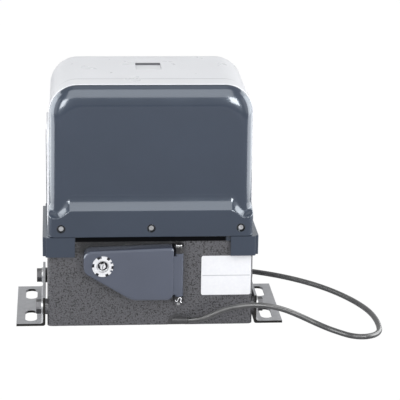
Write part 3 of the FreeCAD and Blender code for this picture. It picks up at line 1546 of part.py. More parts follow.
def make_plug_pins():
    face = plug_start() - X_AXIS * (plug_relief_length + plug_body_length)
    pins = []
    for dy in (-plug_pin_spacing / 2.0, plug_pin_spacing / 2.0):
        pin = cylinder(plug_pin_radius, plug_pin_length, face + V(0, dy, 0), X_AXIS * -1)
        pins.append(pin.makeFillet(1.5,
                                   [pin.Edges[0] if pin.Edges[0].CenterOfMass.x < pin.Edges[2].CenterOfMass.x
                                         else pin.Edges[2]]))
    return group(pins)


os.makedirs("parts", exist_ok=True)

save("base_casting", make_base_casting())
save("base_collar", make_base_collar())
save("cover_front_panel", make_cover_front_panel())
save("cover_bezel", make_cover_bezel())
save("cover_shell", make_cover_shell())
save("side_inlays", make_side_inlays())
save("top_badge", make_top_badge())
save("cover_screws", make_cover_screws())
right_bracket = make_right_bracket()
save("right_bracket", right_bracket)
save("left_bracket", mirror_x(right_bracket))
save("bracket_bolts", make_bracket_bolts())
save("bracket_washers", make_bracket_washers())
save("gearbox_lid", make_gearbox_lid())
save("lid_screws", make_lid_screws())
save("output_bearings", make_output_bearings())
save("oil_seal", make_oil_seal())
save("output_shaft", make_output_shaft())
save("worm_wheel", make_worm_wheel())
save("wheel_key", make_wheel_key())
save("drive_pinion", make_drive_pinion())
save("pinion_key", make_pinion_key())
save("pinion_bolt", make_pinion_bolt())
save("motor_bearings", make_motor_bearings())
save("rotor_shaft", make_rotor_shaft())
save("rotor_core", make_rotor_core())
save("stator_core", make_stator_core())
save("stator_windings", make_stator_windings())
save("motor_housing", make_motor_housing())
save("motor_end_cap", make_motor_end_cap())
save("board_tray", make_board_tray())
save("control_board", make_control_board())
save("board_screws", make_board_screws())
save("terminal_blocks", make_terminal_blocks())
save("relays", make_relays())
save("transformer", make_transformer())
save("capacitor", make_capacitor())
save("capacitor_clip", make_capacitor_clip())
save("limit_switch_housing", make_limit_switch_housing())
save("limit_lever_hub", make_limit_lever_hub())
save("limit_lever_rod", make_limit_lever_rod())
save("release_door", make_release_door())
save("lock_barrel", make_lock_barrel())
save("lock_nut", make_lock_nut())
save("lock_plug", make_lock_plug())
save("lock_cam", make_lock_cam())
save("cam_screw", make_cam_screw())
save("hinge_pin", make_hinge_pin())
save("hinge_clip", make_hinge_clip())
save("release_pin", make_release_pin())
save("release_spring", make_release_spring())
save("rating_label", make_rating_label())
save("cord_relief", make_cord_relief())
save("mains_cord_run", make_mains_cord_run())
save("mains_cord_coil", make_mains_cord_coil())
save("mains_plug", make_mains_plug())
save("plug_pins", make_plug_pins())
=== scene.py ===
import json
import math

import bmesh
import bpy
from mathutils import Matrix, Vector


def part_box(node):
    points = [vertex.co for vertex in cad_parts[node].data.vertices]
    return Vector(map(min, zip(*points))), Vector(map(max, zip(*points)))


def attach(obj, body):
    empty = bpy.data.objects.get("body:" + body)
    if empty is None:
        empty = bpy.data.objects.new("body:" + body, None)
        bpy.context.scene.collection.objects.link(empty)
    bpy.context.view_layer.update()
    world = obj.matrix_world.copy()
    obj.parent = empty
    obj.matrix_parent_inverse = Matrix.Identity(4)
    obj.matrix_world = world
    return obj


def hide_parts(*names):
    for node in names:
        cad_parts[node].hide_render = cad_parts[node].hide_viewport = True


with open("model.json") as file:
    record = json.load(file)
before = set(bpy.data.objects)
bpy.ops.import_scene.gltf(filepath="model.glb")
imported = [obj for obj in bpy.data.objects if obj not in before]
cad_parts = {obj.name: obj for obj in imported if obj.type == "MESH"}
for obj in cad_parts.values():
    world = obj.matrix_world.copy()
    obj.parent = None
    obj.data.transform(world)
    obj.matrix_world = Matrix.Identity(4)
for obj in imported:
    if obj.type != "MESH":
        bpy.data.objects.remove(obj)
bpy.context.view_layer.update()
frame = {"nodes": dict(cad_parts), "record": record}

nodes = frame["nodes"]
print("frame loaded:", len(nodes), "nodes")


# camera: above the motor and a little to its left, looking down at its front

cameraView = {
    "place": (-0.1185, -2.1204, 0.7872),
    "yaw": 5.0,        # degrees towards +X
    "pitch": 16.83,    # degrees down
    "roll": 1.0,
    "lens": 155.3,
    "sensor": 36.0,
}


def placeObject(name, data):
    made = bpy.data.objects.new(name, data)
    bpy.context.collection.objects.link(made)
    return made


def makeCamera(view):
    yaw, pitch, roll = (math.radians(view[key]) for key in ("yaw", "pitch", "roll"))
    ahead = Vector((math.sin(yaw) * math.cos(pitch), math.cos(yaw) * math.cos(pitch), -math.sin(pitch)))
    level = Vector((math.cos(yaw), -math.sin(yaw), 0))
    upward = level.cross(ahead)
    right = level * math.cos(roll) + upward * math.sin(roll)
    top = upward * math.cos(roll) - level * math.sin(roll)
    data = bpy.data.cameras.new("tableCamera")
    data.lens = view["lens"]
    data.sensor_width = view["sensor"]
    camera = placeObject("tableCamera", data)
    turn = Matrix((right, top, -ahead)).transposed().to_4x4()
    camera.matrix_world = Matrix.Translation(view["place"]) @ turn
    bpy.context.scene.camera = camera


makeCamera(cameraView)
print("camera made")


# helpers that build the shader nodes

def linear(red, green, blue):
    # screen values from 0 to 255 as the linear colour a shader takes
    def one(value):
        value /= 255
        return value / 12.92 if value <= 0.04045 else ((value + 0.055) / 1.055) ** 2.4
    return (one(red), one(green), one(blue), 1.0)


def newFinish(name, color, roughness, metallic=0.0, specular=0.5, coat=0.0, coatRoughness=0.1):
    material = bpy.data.materials.new(name)
    material.use_nodes = True
    shader = material.node_tree.nodes["Principled BSDF"]
    shader.inputs["Base Color"].default_value = linear(*color)
    shader.inputs["Roughness"].default_value = roughness
    shader.inputs["Metallic"].default_value = metallic
    shader.inputs["Specular IOR Level"].default_value = specular
    shader.inputs["Coat Weight"].default_value = coat
    shader.inputs["Coat Roughness"].default_value = coatRoughness
    return material, material.node_tree, shader


def addNode(tree, kind, settings=None, values=None):
    node = tree.nodes.new(kind)
    for key, value in (settings or {}).items():
        setattr(node, key, value)
    for key, value in (values or {}).items():
        node.inputs[key].default_value = value
    return node


def feed(tree, value, socket):
    # an output is linked; a number is set, and so is a colour, given as three screen values or as linear ones
    if hasattr(value, "is_linked"):
        tree.links.new(value, socket)
    elif isinstance(value, tuple) and len(value) == 3:
        socket.default_value = linear(*value)
    else:
        socket.default_value = value


def objectPlace(tree, stretch=(1, 1, 1)):
    coords = addNode(tree, "ShaderNodeTexCoord")
    mapping = addNode(tree, "ShaderNodeMapping", values={"Scale": stretch})
    tree.links.new(coords.outputs["Object"], mapping.inputs["Vector"])
    return mapping.outputs["Vector"]


def noise(tree, scale, detail=2.0, stretch=(1, 1, 1), rough=0.5):
    node = addNode(tree, "ShaderNodeTexNoise", values={"Scale": scale, "Detail": detail, "Roughness": rough})
    tree.links.new(objectPlace(tree, stretch), node.inputs["Vector"])
    return node.outputs["Fac"]


def cells(tree, scale, feature="F1"):
    node = addNode(tree, "ShaderNodeTexVoronoi", {"feature": feature}, {"Scale": scale})
    tree.links.new(objectPlace(tree), node.inputs["Vector"])
    return node.outputs["Distance"]


def ramp(tree, value, low, high, toLow=0.0, toHigh=1.0):
    node = addNode(tree, "ShaderNodeMapRange", {"clamp": True})
    tree.links.new(value, node.inputs["Value"])
    for key, number in (("From Min", low), ("From Max", high), ("To Min", toLow), ("To Max", toHigh)):
        node.inputs[key].default_value = number
    return node.outputs["Result"]


def blend(tree, factor, first, second):
    node = addNode(tree, "ShaderNodeMix", {"data_type": "RGBA"})
    feed(tree, factor, node.inputs[0])
    feed(tree, first, node.inputs[6])
    feed(tree, second, node.inputs[7])
    return node.outputs[2]


def combine(tree, operation, first, second=0.0):
    node = addNode(tree, "ShaderNodeMath", {"operation": operation})
    feed(tree, first, node.inputs[0])
    feed(tree, second, node.inputs[1])
    return node.outputs[0]


def times(tree, first, *others):
    for other in others:
        first = combine(tree, "MULTIPLY", first, other)
    return first


def awayFrom(tree, value, centre):
    return combine(tree, "ABSOLUTE", combine(tree, "SUBTRACT", value, centre))


def radiusOf(tree, across, above):
    return combine(tree, "SQRT", combine(tree, "ADD", times(tree, across, across), times(tree, above, above)))


def within(tree, value, centre, half, soft):
    # 1 up to half on either side of the centre, then 0 after soft
    return ramp(tree, awayFrom(tree, value, centre), half, half + soft, 1.0, 0.0)


def bump(tree, shader, height, distance, before=None):
    node = addNode(tree, "ShaderNodeBump", values={"Distance": distance})
    tree.links.new(height, node.inputs["Height"])
    if before:
        tree.links.new(before, node.inputs["Normal"])
    tree.links.new(node.outputs["Normal"], shader.inputs["Normal"])
    return node.outputs["Normal"]


def varyRoughness(tree, shader, value, low, high, middle, below, above):
    tree.links.new(ramp(tree, value, low, high, middle - below, middle + above), shader.inputs["Roughness"])


def paintOver(material, mask, color):
    # lays a colour over what a finish has already, where the mask is 1
    tree = material.node_tree
    base = tree.nodes["Principled BSDF"].inputs["Base Color"]
    tree.links.new(blend(tree, mask, base.links[0].from_socket, color), base)


def axisParts(tree, source):
    coords = addNode(tree, "ShaderNodeTexCoord")
    split = addNode(tree, "ShaderNodeSeparateXYZ")
    tree.links.new(coords.outputs[source], split.inputs[0])
    return split.outputs


def startFrom(makeFinish, name, look):
    material = makeFinish(name, look)
    tree = material.node_tree
    return material, tree, axisParts(tree, "Object")


# settings of the painted shade in crevices
creviceShade = {"samples": 8, "reach": 0.014, "dark": 0.15, "clear": 0.62,
                "color": (0.004, 0.004, 0.004, 1.0)}


def shadeCrevices(tree, body, amount, look):
    # painted shade where two pieces meet: the colour goes towards near black where other surfaces are close
    # (ambient occlusion)
    nearness = addNode(tree, "ShaderNodeAmbientOcclusion", {"samples": look["samples"]},
                       {"Distance": look["reach"]})
    shade = ramp(tree, nearness.outputs["AO"], look["dark"], look["clear"], amount, 0.0)
    return blend(tree, shade, body, look["color"])


# finishes, each a function with the settings of the materials made by it

# noise values between which a soft change runs, and those that only a few specks reach
softNoise = (0.3, 0.7)
fewSpecks = (0.68, 0.8)


def mouldedPlastic(name, look):
    material, tree, shader = newFinish(name, look["color"], look["roughness"], specular=look["specular"],
                                       coat=look.get("coat", 0.0),
                                       coatRoughness=look.get("coatRoughness", 0.1))
    shader.inputs["Specular Tint"].default_value = look.get("tint", (1, 1, 1, 1))
    shader.inputs["Coat Tint"].default_value = look.get("tint", (1, 1, 1, 1))
    tone = noise(tree, look["toneScale"], 3)
    darker = linear(*[channel * look["darker"] for channel in look["color"]])
    lighter = linear(*[min(255, channel * look["lighter"]) for channel in look["color"]])
    body = blend(tree, ramp(tree, tone, *softNoise), darker, lighter)
    dust = ramp(tree, noise(tree, look["dustScale"], 6, rough=0.8), *fewSpecks, 0, look["dust"])
    body = blend(tree, dust, body, look["dustColor"])
    # painted shade in crevices
    if "paintedCreviceShade" in look:
        body = shadeCrevices(tree, body, look["paintedCreviceShade"], creviceShade)
    tree.links.new(body, shader.inputs["Base Color"])
    varyRoughness(tree, shader, noise(tree, look["roughScale"], 4), *softNoise, look["roughness"],
                  look["roughSpread"], look["roughSpread"])
    grain = noise(tree, look["grainScale"], 3, rough=0.65)
    first = bump(tree, shader, grain, look["grainDepth"])
    waves = noise(tree, look["waveScale"], 1)
    bump(tree, shader, waves, look["waveDepth"], before=first)
    return material


slatePlastic = {
    "color": (45, 52, 64), "roughness": 0.2, "tint": (0.86, 0.93, 1.0, 1.0),
    "specular": 0.5, "coat": 0.7, "coatRoughness": 0.07,
    "darker": 0.975, "lighter": 1.03, "toneScale": 14,
    "dust": 0.3, "dustScale": 260, "dustColor": (104, 109, 121),
    "roughScale": 40, "roughSpread": 0.03, "paintedCreviceShade": 0.75,
    "grainScale": 1500, "grainDepth": 0.000006,
    "waveScale": 16, "waveDepth": 0.0003,
}
doorPlastic = dict(slatePlastic, color=(77, 80, 91), roughness=0.24, coat=0.5)


# painted shade on the collar's front band under the skirt
collarShade = {
    "halfWidth": 0.0935, "widthFade": 0.002, "front": -0.0690, "frontFade": 0.001,
    "color": (0.003, 0.003, 0.0035, 1.0), "specularLoss": 0.45,
}


def collarWithPaintedShade(name, look, shade):
    # painted shade: between the two corner blocks the band's front is coloured near black and loses gloss,
    # for the deep shade under the skirt
    material, tree, parts = startFrom(mouldedPlastic, name, look)
    shader = tree.nodes["Principled BSDF"]
    front = ramp(tree, parts["Y"], shade["front"], shade["front"] + shade["frontFade"], 1.0, 0.0)
    mask = times(tree, within(tree, parts["X"], 0.0, shade["halfWidth"], shade["widthFade"]), front)
    paintOver(material, mask, shade["color"])
    for socket, full, loss in (("Specular IOR Level", look["specular"], shade["specularLoss"]),
                               ("Coat Weight", look["coat"], look["coat"])):
        tree.links.new(combine(tree, "SUBTRACT", full, times(tree, mask, loss)), shader.inputs[socket])
    return material


palePlastic = {
    "color": (226, 228, 232), "roughness": 0.3, "specular": 0.5, "coat": 0.15, "coatRoughness": 0.15,
    "darker": 0.985, "lighter": 1.01, "toneScale": 10,
    "dust": 0.08, "dustScale": 240, "dustColor": (196, 197, 202),
    "roughScale": 40, "roughSpread": 0.03,
    "grainScale": 600, "grainDepth": 0.000004,
    "waveScale": 14, "waveDepth": 0.0002,
}
blackPlastic = {
    "color": (40, 41, 44), "roughness": 0.42, "specular": 0.5,
    "darker": 0.9, "lighter": 1.1, "toneScale": 40,
    "dust": 0.2, "dustScale": 300, "dustColor": (90, 92, 96),
    "roughScale": 60, "roughSpread": 0.05,
    "grainScale": 1800, "grainDepth": 0.00004,
    "waveScale": 30, "waveDepth": 0.0002,
}
terminalPlastic = dict(blackPlastic, color=(52, 122, 74), roughness=0.4, dustColor=(120, 170, 134))
relayPlastic = dict(blackPlastic, color=(38, 86, 158), roughness=0.3, dustColor=(90, 130, 190))
capacitorPlastic = dict(blackPlastic, color=(222, 222, 216), roughness=0.35, dustColor=(180, 180, 172))


def hammertonePaint(name, look):
    material, tree, shader = newFinish(name, look["color"], look["roughness"], specular=look["specular"],
                                       coat=look["coat"], coatRoughness=look["coatRoughness"])
    pits = cells(tree, look["pitScale"], "SMOOTH_F1")
    worms = noise(tree, look["wormScale"], 3, rough=0.7)
    mixed = combine(tree, "ADD", ramp(tree, pits, *look["pitReach"]), ramp(tree, worms, *look["wormReach"]))
    shade = ramp(tree, mixed, *look["pitEdge"])
    body = blend(tree, shade, look["pitColor"], look["color"])
    flecks = ramp(tree, noise(tree, look["fleckScale"], 2, rough=0.8), *look["fleckEdge"], 0, look["fleck"])
    tree.links.new(blend(tree, flecks, body, look["fleckColor"]), shader.inputs["Base Color"])
    bump(tree, shader, shade, look["depth"])
    return material


hammertone = {
    "color": (79, 79, 83), "pitColor": (20, 20, 22), "fleckColor": (132, 132, 136), "fleck": 0.5,
    "roughness": 0.34, "specular": 0.5, "coat": 0.4, "coatRoughness": 0.15,
    "pitScale": 540, "wormScale": 460, "fleckScale": 900, "depth": 0.00018,
    "pitReach": (0.1, 0.75), "wormReach": (0.35, 0.62), "pitEdge": (0.62, 1.08), "fleckEdge": (0.58, 0.7),
}


def platedSheet(name, look):
    # zinc on rolled sheet, with a dark cut edge
    material, tree, shader = newFinish(name, look["color"], look["roughness"], metallic=look["metallic"])
    streak = noise(tree, look["streakScale"], 4, look["streakAlong"])
    cloud = cells(tree, look["cloudScale"])
    tone = times(tree, ramp(tree, streak, *look["streakTone"]), ramp(tree, cloud, *look["cloudTone"]))
    body = blend(tree, ramp(tree, tone, *look["toneEdge"]), look["shadeColor"], look["color"])
    edge = ramp(tree, combine(tree, "ABSOLUTE", axisParts(tree, "Normal")["Y"]), *look["edgeFacing"])
    tree.links.new(blend(tree, edge, body, look["edgeColor"]), shader.inputs["Base Color"])
    varyRoughness(tree, shader, streak, 0.2, 0.8, look["roughness"], 0.06, 0.08)
    bump(tree, shader, streak, look["depth"])
    return material


zincPlate = {
    "color": (174, 175, 178), "shadeColor": (150, 151, 155), "edgeColor": (44, 43, 42),
    "edgeFacing": (0.6, 0.85), "roughness": 0.42, "metallic": 0.75,
    "streakScale": 90, "streakAlong": (1, 0.12, 1), "cloudScale": 130, "depth": 0.00004,
    "streakTone": (0.2, 0.8, 0.9, 1.08), "cloudTone": (0, 0.8, 0.95, 1.05), "toneEdge": (0.85, 1.12),
}


def turnedMetal(name, look):
    # machined, cast or plated metal: fine marks, small stains and a little wear
    material, tree, shader = newFinish(name, look["color"], look["roughness"],
                                       metallic=look.get("metallic", 1.0))
    marks = noise(tree, look["markScale"], 3, look["markAlong"])
    stain = noise(tree, look["stainScale"], 5, rough=0.7)
    body = blend(tree, ramp(tree, stain, 0.35, 0.75), look["color"], look["stainColor"])
    tree.links.new(body, shader.inputs["Base Color"])
    varyRoughness(tree, shader, combine(tree, "ADD", marks, stain), 0.6, 1.4, look["roughness"],
                  look["roughSpread"], look["roughSpread"])
    bump(tree, shader, marks, look["depth"])
    return material


zincFastener = {"color": (206, 207, 210), "stainColor": (160, 160, 158), "roughness": 0.28,
                "roughSpread": 0.08, "markScale": 900, "markAlong": (1, 1, 1), "stainScale": 120,
                "depth": 0.00004}
gearSteel = dict(zincFastener, color=(168, 168, 170), stainColor=(128, 126, 122), roughness=0.3,
                 roughSpread=0.1, markScale=500, markAlong=(1, 6, 1), stainScale=60, depth=0.00003)
bearingSteel = dict(zincFastener, color=(198, 200, 204), stainColor=(170, 170, 172), roughness=0.18,
                    roughSpread=0.06, markScale=800, markAlong=(1, 1, 8), stainScale=60, depth=0.00001)
bronze = dict(gearSteel, color=(196, 150, 88), stainColor=(158, 112, 58), roughness=0.32,
              roughSpread=0.08, markScale=600, stainScale=50)
castAluminium = dict(zincFastener, color=(176, 178, 180), stainColor=(148, 149, 150), roughness=0.46,
                     markScale=700, stainScale=40, depth=0.00015)
chromeLock = dict(zincFastener, color=(236, 237, 240), stainColor=(214, 215, 218), roughness=0.24,
                  roughSpread=0.06, stainScale=140, depth=0.00002, metallic=0.35)
plugBrass = dict(zincFastener, color=(212, 178, 108), stainColor=(176, 140, 76), roughness=0.24,
                 roughSpread=0.06, markAlong=(6, 1, 1), stainScale=90, depth=0.00001)


def layeredMetal(name, look):
    # stacked sheets or wound wire: fine even lines across one axis
    material, tree, shader = newFinish(name, look["color"], look["roughness"], metallic=look["metallic"])
    lines = addNode(tree, "ShaderNodeTexWave", {"wave_type": "BANDS", "bands_direction": look["across"]},
                    {"Scale": look["lineScale"], "Distortion": look["wander"], "Detail": 1.0})
    tree.links.new(objectPlace(tree), lines.inputs["Vector"])
    shade = ramp(tree, lines.outputs["Fac"], 0.15, 0.6)
    tree.links.new(blend(tree, shade, look["gapColor"], look["color"]), shader.inputs["Base Color"])
    bump(tree, shader, lines.outputs["Fac"], look["depth"])
    return material


lamination = {"color": (120, 122, 126), "gapColor": (46, 46, 50), "roughness": 0.4, "metallic": 0.9,
              "across": "Z", "lineScale": 300, "wander": 0.2, "depth": 0.0001}
copperWinding = {"color": (184, 104, 58), "gapColor": (92, 40, 20), "roughness": 0.25, "metallic": 0.9,
                 "across": "DIAGONAL", "lineScale": 260, "wander": 1.2, "depth": 0.0003}


def rubberSkin(name, look):
    material, tree, shader = newFinish(name, look["color"], look["roughness"], specular=look["specular"])
    haze = noise(tree, look["hazeScale"], 4, rough=0.7)
    body = blend(tree, ramp(tree, haze, 0.4, 0.75, 0, look["haze"]), look["color"], look["hazeColor"])
    tree.links.new(body, shader.inputs["Base Color"])
    varyRoughness(tree, shader, haze, *softNoise, look["roughness"], 0.05, 0.07)
    bump(tree, shader, noise(tree, look["grainScale"], 2), look["depth"])
    return material


blackRubber = {"color": (38, 38, 39), "hazeColor": (84, 84, 86), "haze": 0.35, "roughness": 0.55,
               "specular": 0.4, "hazeScale": 60, "grainScale": 1600, "depth": 0.00006}
blackCord = {"color": (46, 47, 48), "hazeColor": (92, 92, 92), "haze": 0.5, "roughness": 0.3,
             "specular": 0.9, "hazeScale": 70, "grainScale": 1200, "depth": 0.00005}


def boardGreen(name, look):
    # solder mask with copper tracks under it
    material, tree, shader = newFinish(name, look["color"], look["roughness"], coat=0.4)
    node = addNode(tree, "ShaderNodeTexBrick", {"offset": 0.37, "squash": 0.6, "squash_frequency": 3},
                   {"Scale": look["trackScale"], "Mortar Size": 0.06, "Brick Width": 0.9, "Row Height": 0.22})
    spin = addNode(tree, "ShaderNodeMapping", values={"Rotation": (math.radians(90), 0, 0)})
    tree.links.new(objectPlace(tree), spin.inputs["Vector"])
    tree.links.new(spin.outputs["Vector"], node.inputs["Vector"])
    tree.links.new(blend(tree, node.outputs["Fac"], look["color"], look["trackColor"]),
                   shader.inputs["Base Color"])
    bump(tree, shader, node.outputs["Fac"], look["depth"])
    return material


controlBoard = {"color": (24, 84, 48), "trackColor": (52, 128, 74), "roughness": 0.3, "trackScale": 120,
                "depth": 0.00003}


def labelFilm(name, look):
    # bare white sticker with one printed rule across it
    material, tree, shader = newFinish(name, look["color"], look["roughness"])
    low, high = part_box("rating_label")
    parts = axisParts(tree, "Object")
    ruleHeight = low.z + (high.z - low.z) * look["ruleAt"]
    line = within(tree, parts["Z"], ruleHeight, look["ruleWidth"] / 2, look["ruleWidth"] / 2)
    inset = within(tree, parts["X"], (low.x + high.x) / 2, (high.x - low.x) / 2 - look["margin"], 0.0002)
    fibre = ramp(tree, noise(tree, look["fibreScale"], 4), *softNoise)
    tree.links.new(blend(tree, fibre, look["color"], look["shadeColor"]), shader.inputs["Base Color"])
    paintOver(material, times(tree, line, inset, look["ruleTone"]), look["ruleColor"])
    bump(tree, shader, noise(tree, look["waveScale"], 2), look["depth"])
    return material


whiteLabel = {"color": (225, 226, 228), "shadeColor": (220, 221, 225), "ruleColor": (150, 152, 158),
              "roughness": 0.35, "ruleAt": 0.5, "ruleWidth": 0.0006, "ruleTone": 0.8, "margin": 0.0015,
              "fibreScale": 300, "waveScale": 45, "depth": 0.0004}


finishes = {
    "slate_plastic": mouldedPlastic("slatePlastic", slatePlastic),
    "pale_plastic": mouldedPlastic("palePlastic", palePlastic),
    "black_plastic": mouldedPlastic("blackPlastic", blackPlastic),
    "terminal_green": mouldedPlastic("terminalPlastic", terminalPlastic),
    "relay_blue": mouldedPlastic("relayPlastic", relayPlastic),
    "capacitor_white": mouldedPlastic("capacitorPlastic", capacitorPlastic),
    "hammertone_casting": hammertonePaint("hammertonePaint", hammertone),
    "zinc_plate": platedSheet("zincPlate", zincPlate),
    "zinc_fastener": turnedMetal("zincFastener", zincFastener),
    "gear_steel": turnedMetal("gearSteel", gearSteel),
    "bearing_steel": turnedMetal("bearingSteel", bearingSteel),
    "bronze": turnedMetal("bronze", bronze),
    "aluminium_body": turnedMetal("castAluminium", castAluminium),
    "chrome_lock": turnedMetal("chromeLock", chromeLock),
    "plug_brass": turnedMetal("plugBrass", plugBrass),
    "lamination": layeredMetal("lamination", lamination),
    "copper_winding": layeredMetal("copperWinding", copperWinding),
    "black_rubber": rubberSkin("blackRubber", blackRubber),
    "black_cord": rubberSkin("blackCord", blackCord),
    "board_green": boardGreen("controlBoard", controlBoard),
    "label_white": labelFilm("whiteLabel", whiteLabel),
}
print("finishes made:", len(finishes))


# mains cord, with its put-away length in a coil behind the motor

cordShape = {
    "diameter": 0.007,
    "coilCentre": (0.070, 0.1785),
    "outerTurn": 0.0433, "innerTurn": 0.0362,   # centre line radii
    "lowLayer": 0.0035, "highLayer": 0.0106,
    "turns": 3, "pointsPerTurn": 16,
    "length": 1.44,
}

# (turn count, radius share outwards, height share) along the coil
coilPlan = [(0, 1, 0), (0.85, 1, 0), (1.15, 0, 0), (1.6, 0, 0),
            (1.85, 0, 1), (2.15, 0, 1), (2.6, 1, 1), (3, 1, 1)]

# from the relief to the floor, and on along the floor to the coil
cordDrop = [
    (0.048, -0.0805, 0.009), (0.061, -0.089, 0.012), (0.075, -0.0915, 0.0195), (0.091, -0.092, 0.0265),
    (0.108, -0.0915, 0.0305), (0.127, -0.090, 0.032), (0.147, -0.088, 0.030), (0.167, -0.086, 0.0245),
    (0.186, -0.086, 0.0165), (0.204, -0.091, 0.009), (0.222, -0.103, 0.0042),
]
cordFloor = [
    (0.236, -0.117), (0.248, -0.129), (0.263, -0.1335), (0.278, -0.128), (0.287, -0.115), (0.2895, -0.096),
    (0.290, -0.070), (0.286, -0.040), (0.275, -0.008), (0.258, 0.025), (0.236, 0.056), (0.210, 0.082),
    (0.182, 0.103), (0.152, 0.119), (0.124, 0.130), (0.098, 0.1355), (0.084, 0.1355),
]
cordTail = [(0.048, 0.1345, 0.0105), (0.027, 0.1365, 0.016), (0.004, 0.1375, 0.0185)]


def smoothShare(value):
    value = min(1.0, max(0.0, value))
    return value * value * (3 - 2 * value)


def planAt(count):
    for (start, rOne, zOne), (end, rTwo, zTwo) in zip(coilPlan, coilPlan[1:]):
        if count <= end:
            share = smoothShare((count - start) / (end - start))
            return rOne + (rTwo - rOne) * share, zOne + (zTwo - zOne) * share
    return coilPlan[-1][1:]


def coilPoints(shape):
    steps = shape["turns"] * shape["pointsPerTurn"]
    widen = 2 / (1 + math.cos(math.pi / shape["pointsPerTurn"]))   # the smooth line cuts inside its points
    points = []
    for step in range(steps + 1):
        count = step / shape["pointsPerTurn"]
        outward, upward = planAt(count)
        radius = (shape["innerTurn"] + (shape["outerTurn"] - shape["innerTurn"]) * outward) * widen
        angle = -math.pi / 2 - 2 * math.pi * count
        height = shape["lowLayer"] + (shape["highLayer"] - shape["lowLayer"]) * upward
        points.append((shape["coilCentre"][0] + radius * math.cos(angle),
                       shape["coilCentre"][1] + radius * math.sin(angle), height))
    return points


def makeWire(name, points, diameter, roundness):
    # round wire along one smooth line
    curve = bpy.data.curves.new(name, "CURVE")
    curve.dimensions = "3D"
    curve.bevel_depth = diameter / 2
    curve.bevel_resolution = roundness
    curve.use_fill_caps = True
    spline = curve.splines.new("NURBS")
    spline.points.add(len(points) - 1)
    for point, place in zip(spline.points, points):
        point.co = (*place, 1)
    spline.order_u = 3
    spline.use_endpoint_u = True
    return placeObject(name, curve)


def dressPiece(piece, slot, *replaced, finish=None):
    piece.data.materials.clear()
    piece.data.materials.append(finish or finishes[slot])
    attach(piece, "root")
    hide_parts(*replaced)


def makeCord(shape):
    along = [(x, y, shape["lowLayer"]) for x, y in cordFloor]
    cord = makeWire("mains_cord", cordDrop + along + coilPoints(shape) + cordTail, shape["diameter"], 6)
    cord.data.splines[0].resolution_u = 10
    dressPiece(cord, "black_cord", "mains_cord_run", "mains_cord_coil")


makeCord(cordShape)
print("cord laid")


# finishes with marks and painted shade that belong to single pieces

lockFace = {
    "notches": 6, "notchTurn": 5.0, "notchCut": 0.55, "notchFrom": 0.0105,
    "ringIn": 0.0060, "ringOut": 0.0075, "groove": 0.0005,
    "keyTurn": 18.0, "keyHalf": 0.0034, "darkColor": (22, 24, 29), "deep": 0.0006,
}


def flangeMarks(tree, face, across, above):
    # notches in the rim and a groove round it, painted dark for the shade in them, and a dark middle
    radius = radiusOf(tree, across, above)
    turn = combine(tree, "ADD", combine(tree, "ARCTAN2", above, across), math.radians(face["notchTurn"]))
    wave = combine(tree, "COSINE", times(tree, turn, face["notches"]))
    notch = times(tree, ramp(tree, wave, face["notchCut"], face["notchCut"] + 0.1),
                  ramp(tree, radius, face["notchFrom"], face["notchFrom"] + 0.0003))
    inner = ramp(tree, radius, face["ringIn"], face["ringIn"] + 0.0002, 1.0, 0.0)
    groove = ramp(tree, awayFrom(tree, radius, face["ringOut"]), face["groove"] * 0.4, face["groove"],
                  0.6, 0.0)
    return combine(tree, "MAXIMUM", combine(tree, "MAXIMUM", notch, inner), groove)


def plugMarks(tree, face, across, above):
    # bright block turned a little on a dark plug
    turn = math.radians(face["keyTurn"])
    alongKey, acrossKey = (
        combine(tree, "ABSOLUTE", combine(tree, operation, times(tree, first, math.cos(turn)),
                                          times(tree, second, math.sin(turn))))
        for operation, first, second in (("ADD", across, above), ("SUBTRACT", above, across)))
    reach = combine(tree, "MAXIMUM", alongKey, acrossKey)
    return ramp(tree, reach, face["keyHalf"] - 0.0002, face["keyHalf"] + 0.0002)


def lockFinish(name, look, face, marks):
    material, tree, parts = startFrom(turnedMetal, name, look)
    shader = tree.nodes["Principled BSDF"]
    low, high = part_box("lock_plug")
    dark = marks(tree, face, combine(tree, "SUBTRACT", parts["X"], (low.x + high.x) / 2),
                 combine(tree, "SUBTRACT", parts["Z"], (low.z + high.z) / 2))
    paintOver(material, dark, face["darkColor"])
    bright = combine(tree, "SUBTRACT", 1.0, dark)
    tree.links.new(times(tree, bright, look["metallic"]), shader.inputs["Metallic"])
    bump(tree, shader, bright, face["deep"])
    return material


# painted shade on the badge's rear edge, on the rear wall of its recess and along the seam to the bezel
badgeShadeLines = {
    "rearDark": 0.0040, "rearFade": 0.0006, "rearShadeColor": (92, 93, 97),
    "wallAt": 0.0006, "wallHalf": 0.0005, "fade": 0.0004,
    "seamFrom": 0.0014, "seamTo": 0.004, "seamShade": 0.75, "shadeColor": (96, 97, 101),
}


def badgeWithPaintedShade(name, look, marks):
    # painted shade: the rear edge of the badge is coloured darker, for the shade at the rear of its recess
    material, tree, parts = startFrom(mouldedPlastic, name, look)
    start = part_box("top_badge")[1].y - marks["rearDark"]
    dark = ramp(tree, parts["Y"], start, start + marks["rearFade"])
    paintOver(material, dark, marks["rearShadeColor"])
    return material


def shellWithPaintedShade(name, look, marks):
    # shade line on the rear wall of the badge's recess, and a fainter one along the seam to the bezel
    material, tree, parts = startFrom(mouldedPlastic, name, look)
    low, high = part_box("top_badge")
    beside = within(tree, parts["X"], (low.x + high.x) / 2, (high.x - low.x) / 2, marks["fade"])
    behind = within(tree, parts["Y"], high.y + marks["wallAt"], marks["wallHalf"], marks["fade"])
    seam = ramp(tree, parts["Y"], shellForm["seam"] + marks["seamFrom"], shellForm["seam"] + marks["seamTo"],
                marks["seamShade"], 0.0)
    paintOver(material, combine(tree, "MAXIMUM", seam, times(tree, beside, behind)), marks["shadeColor"])
    return material


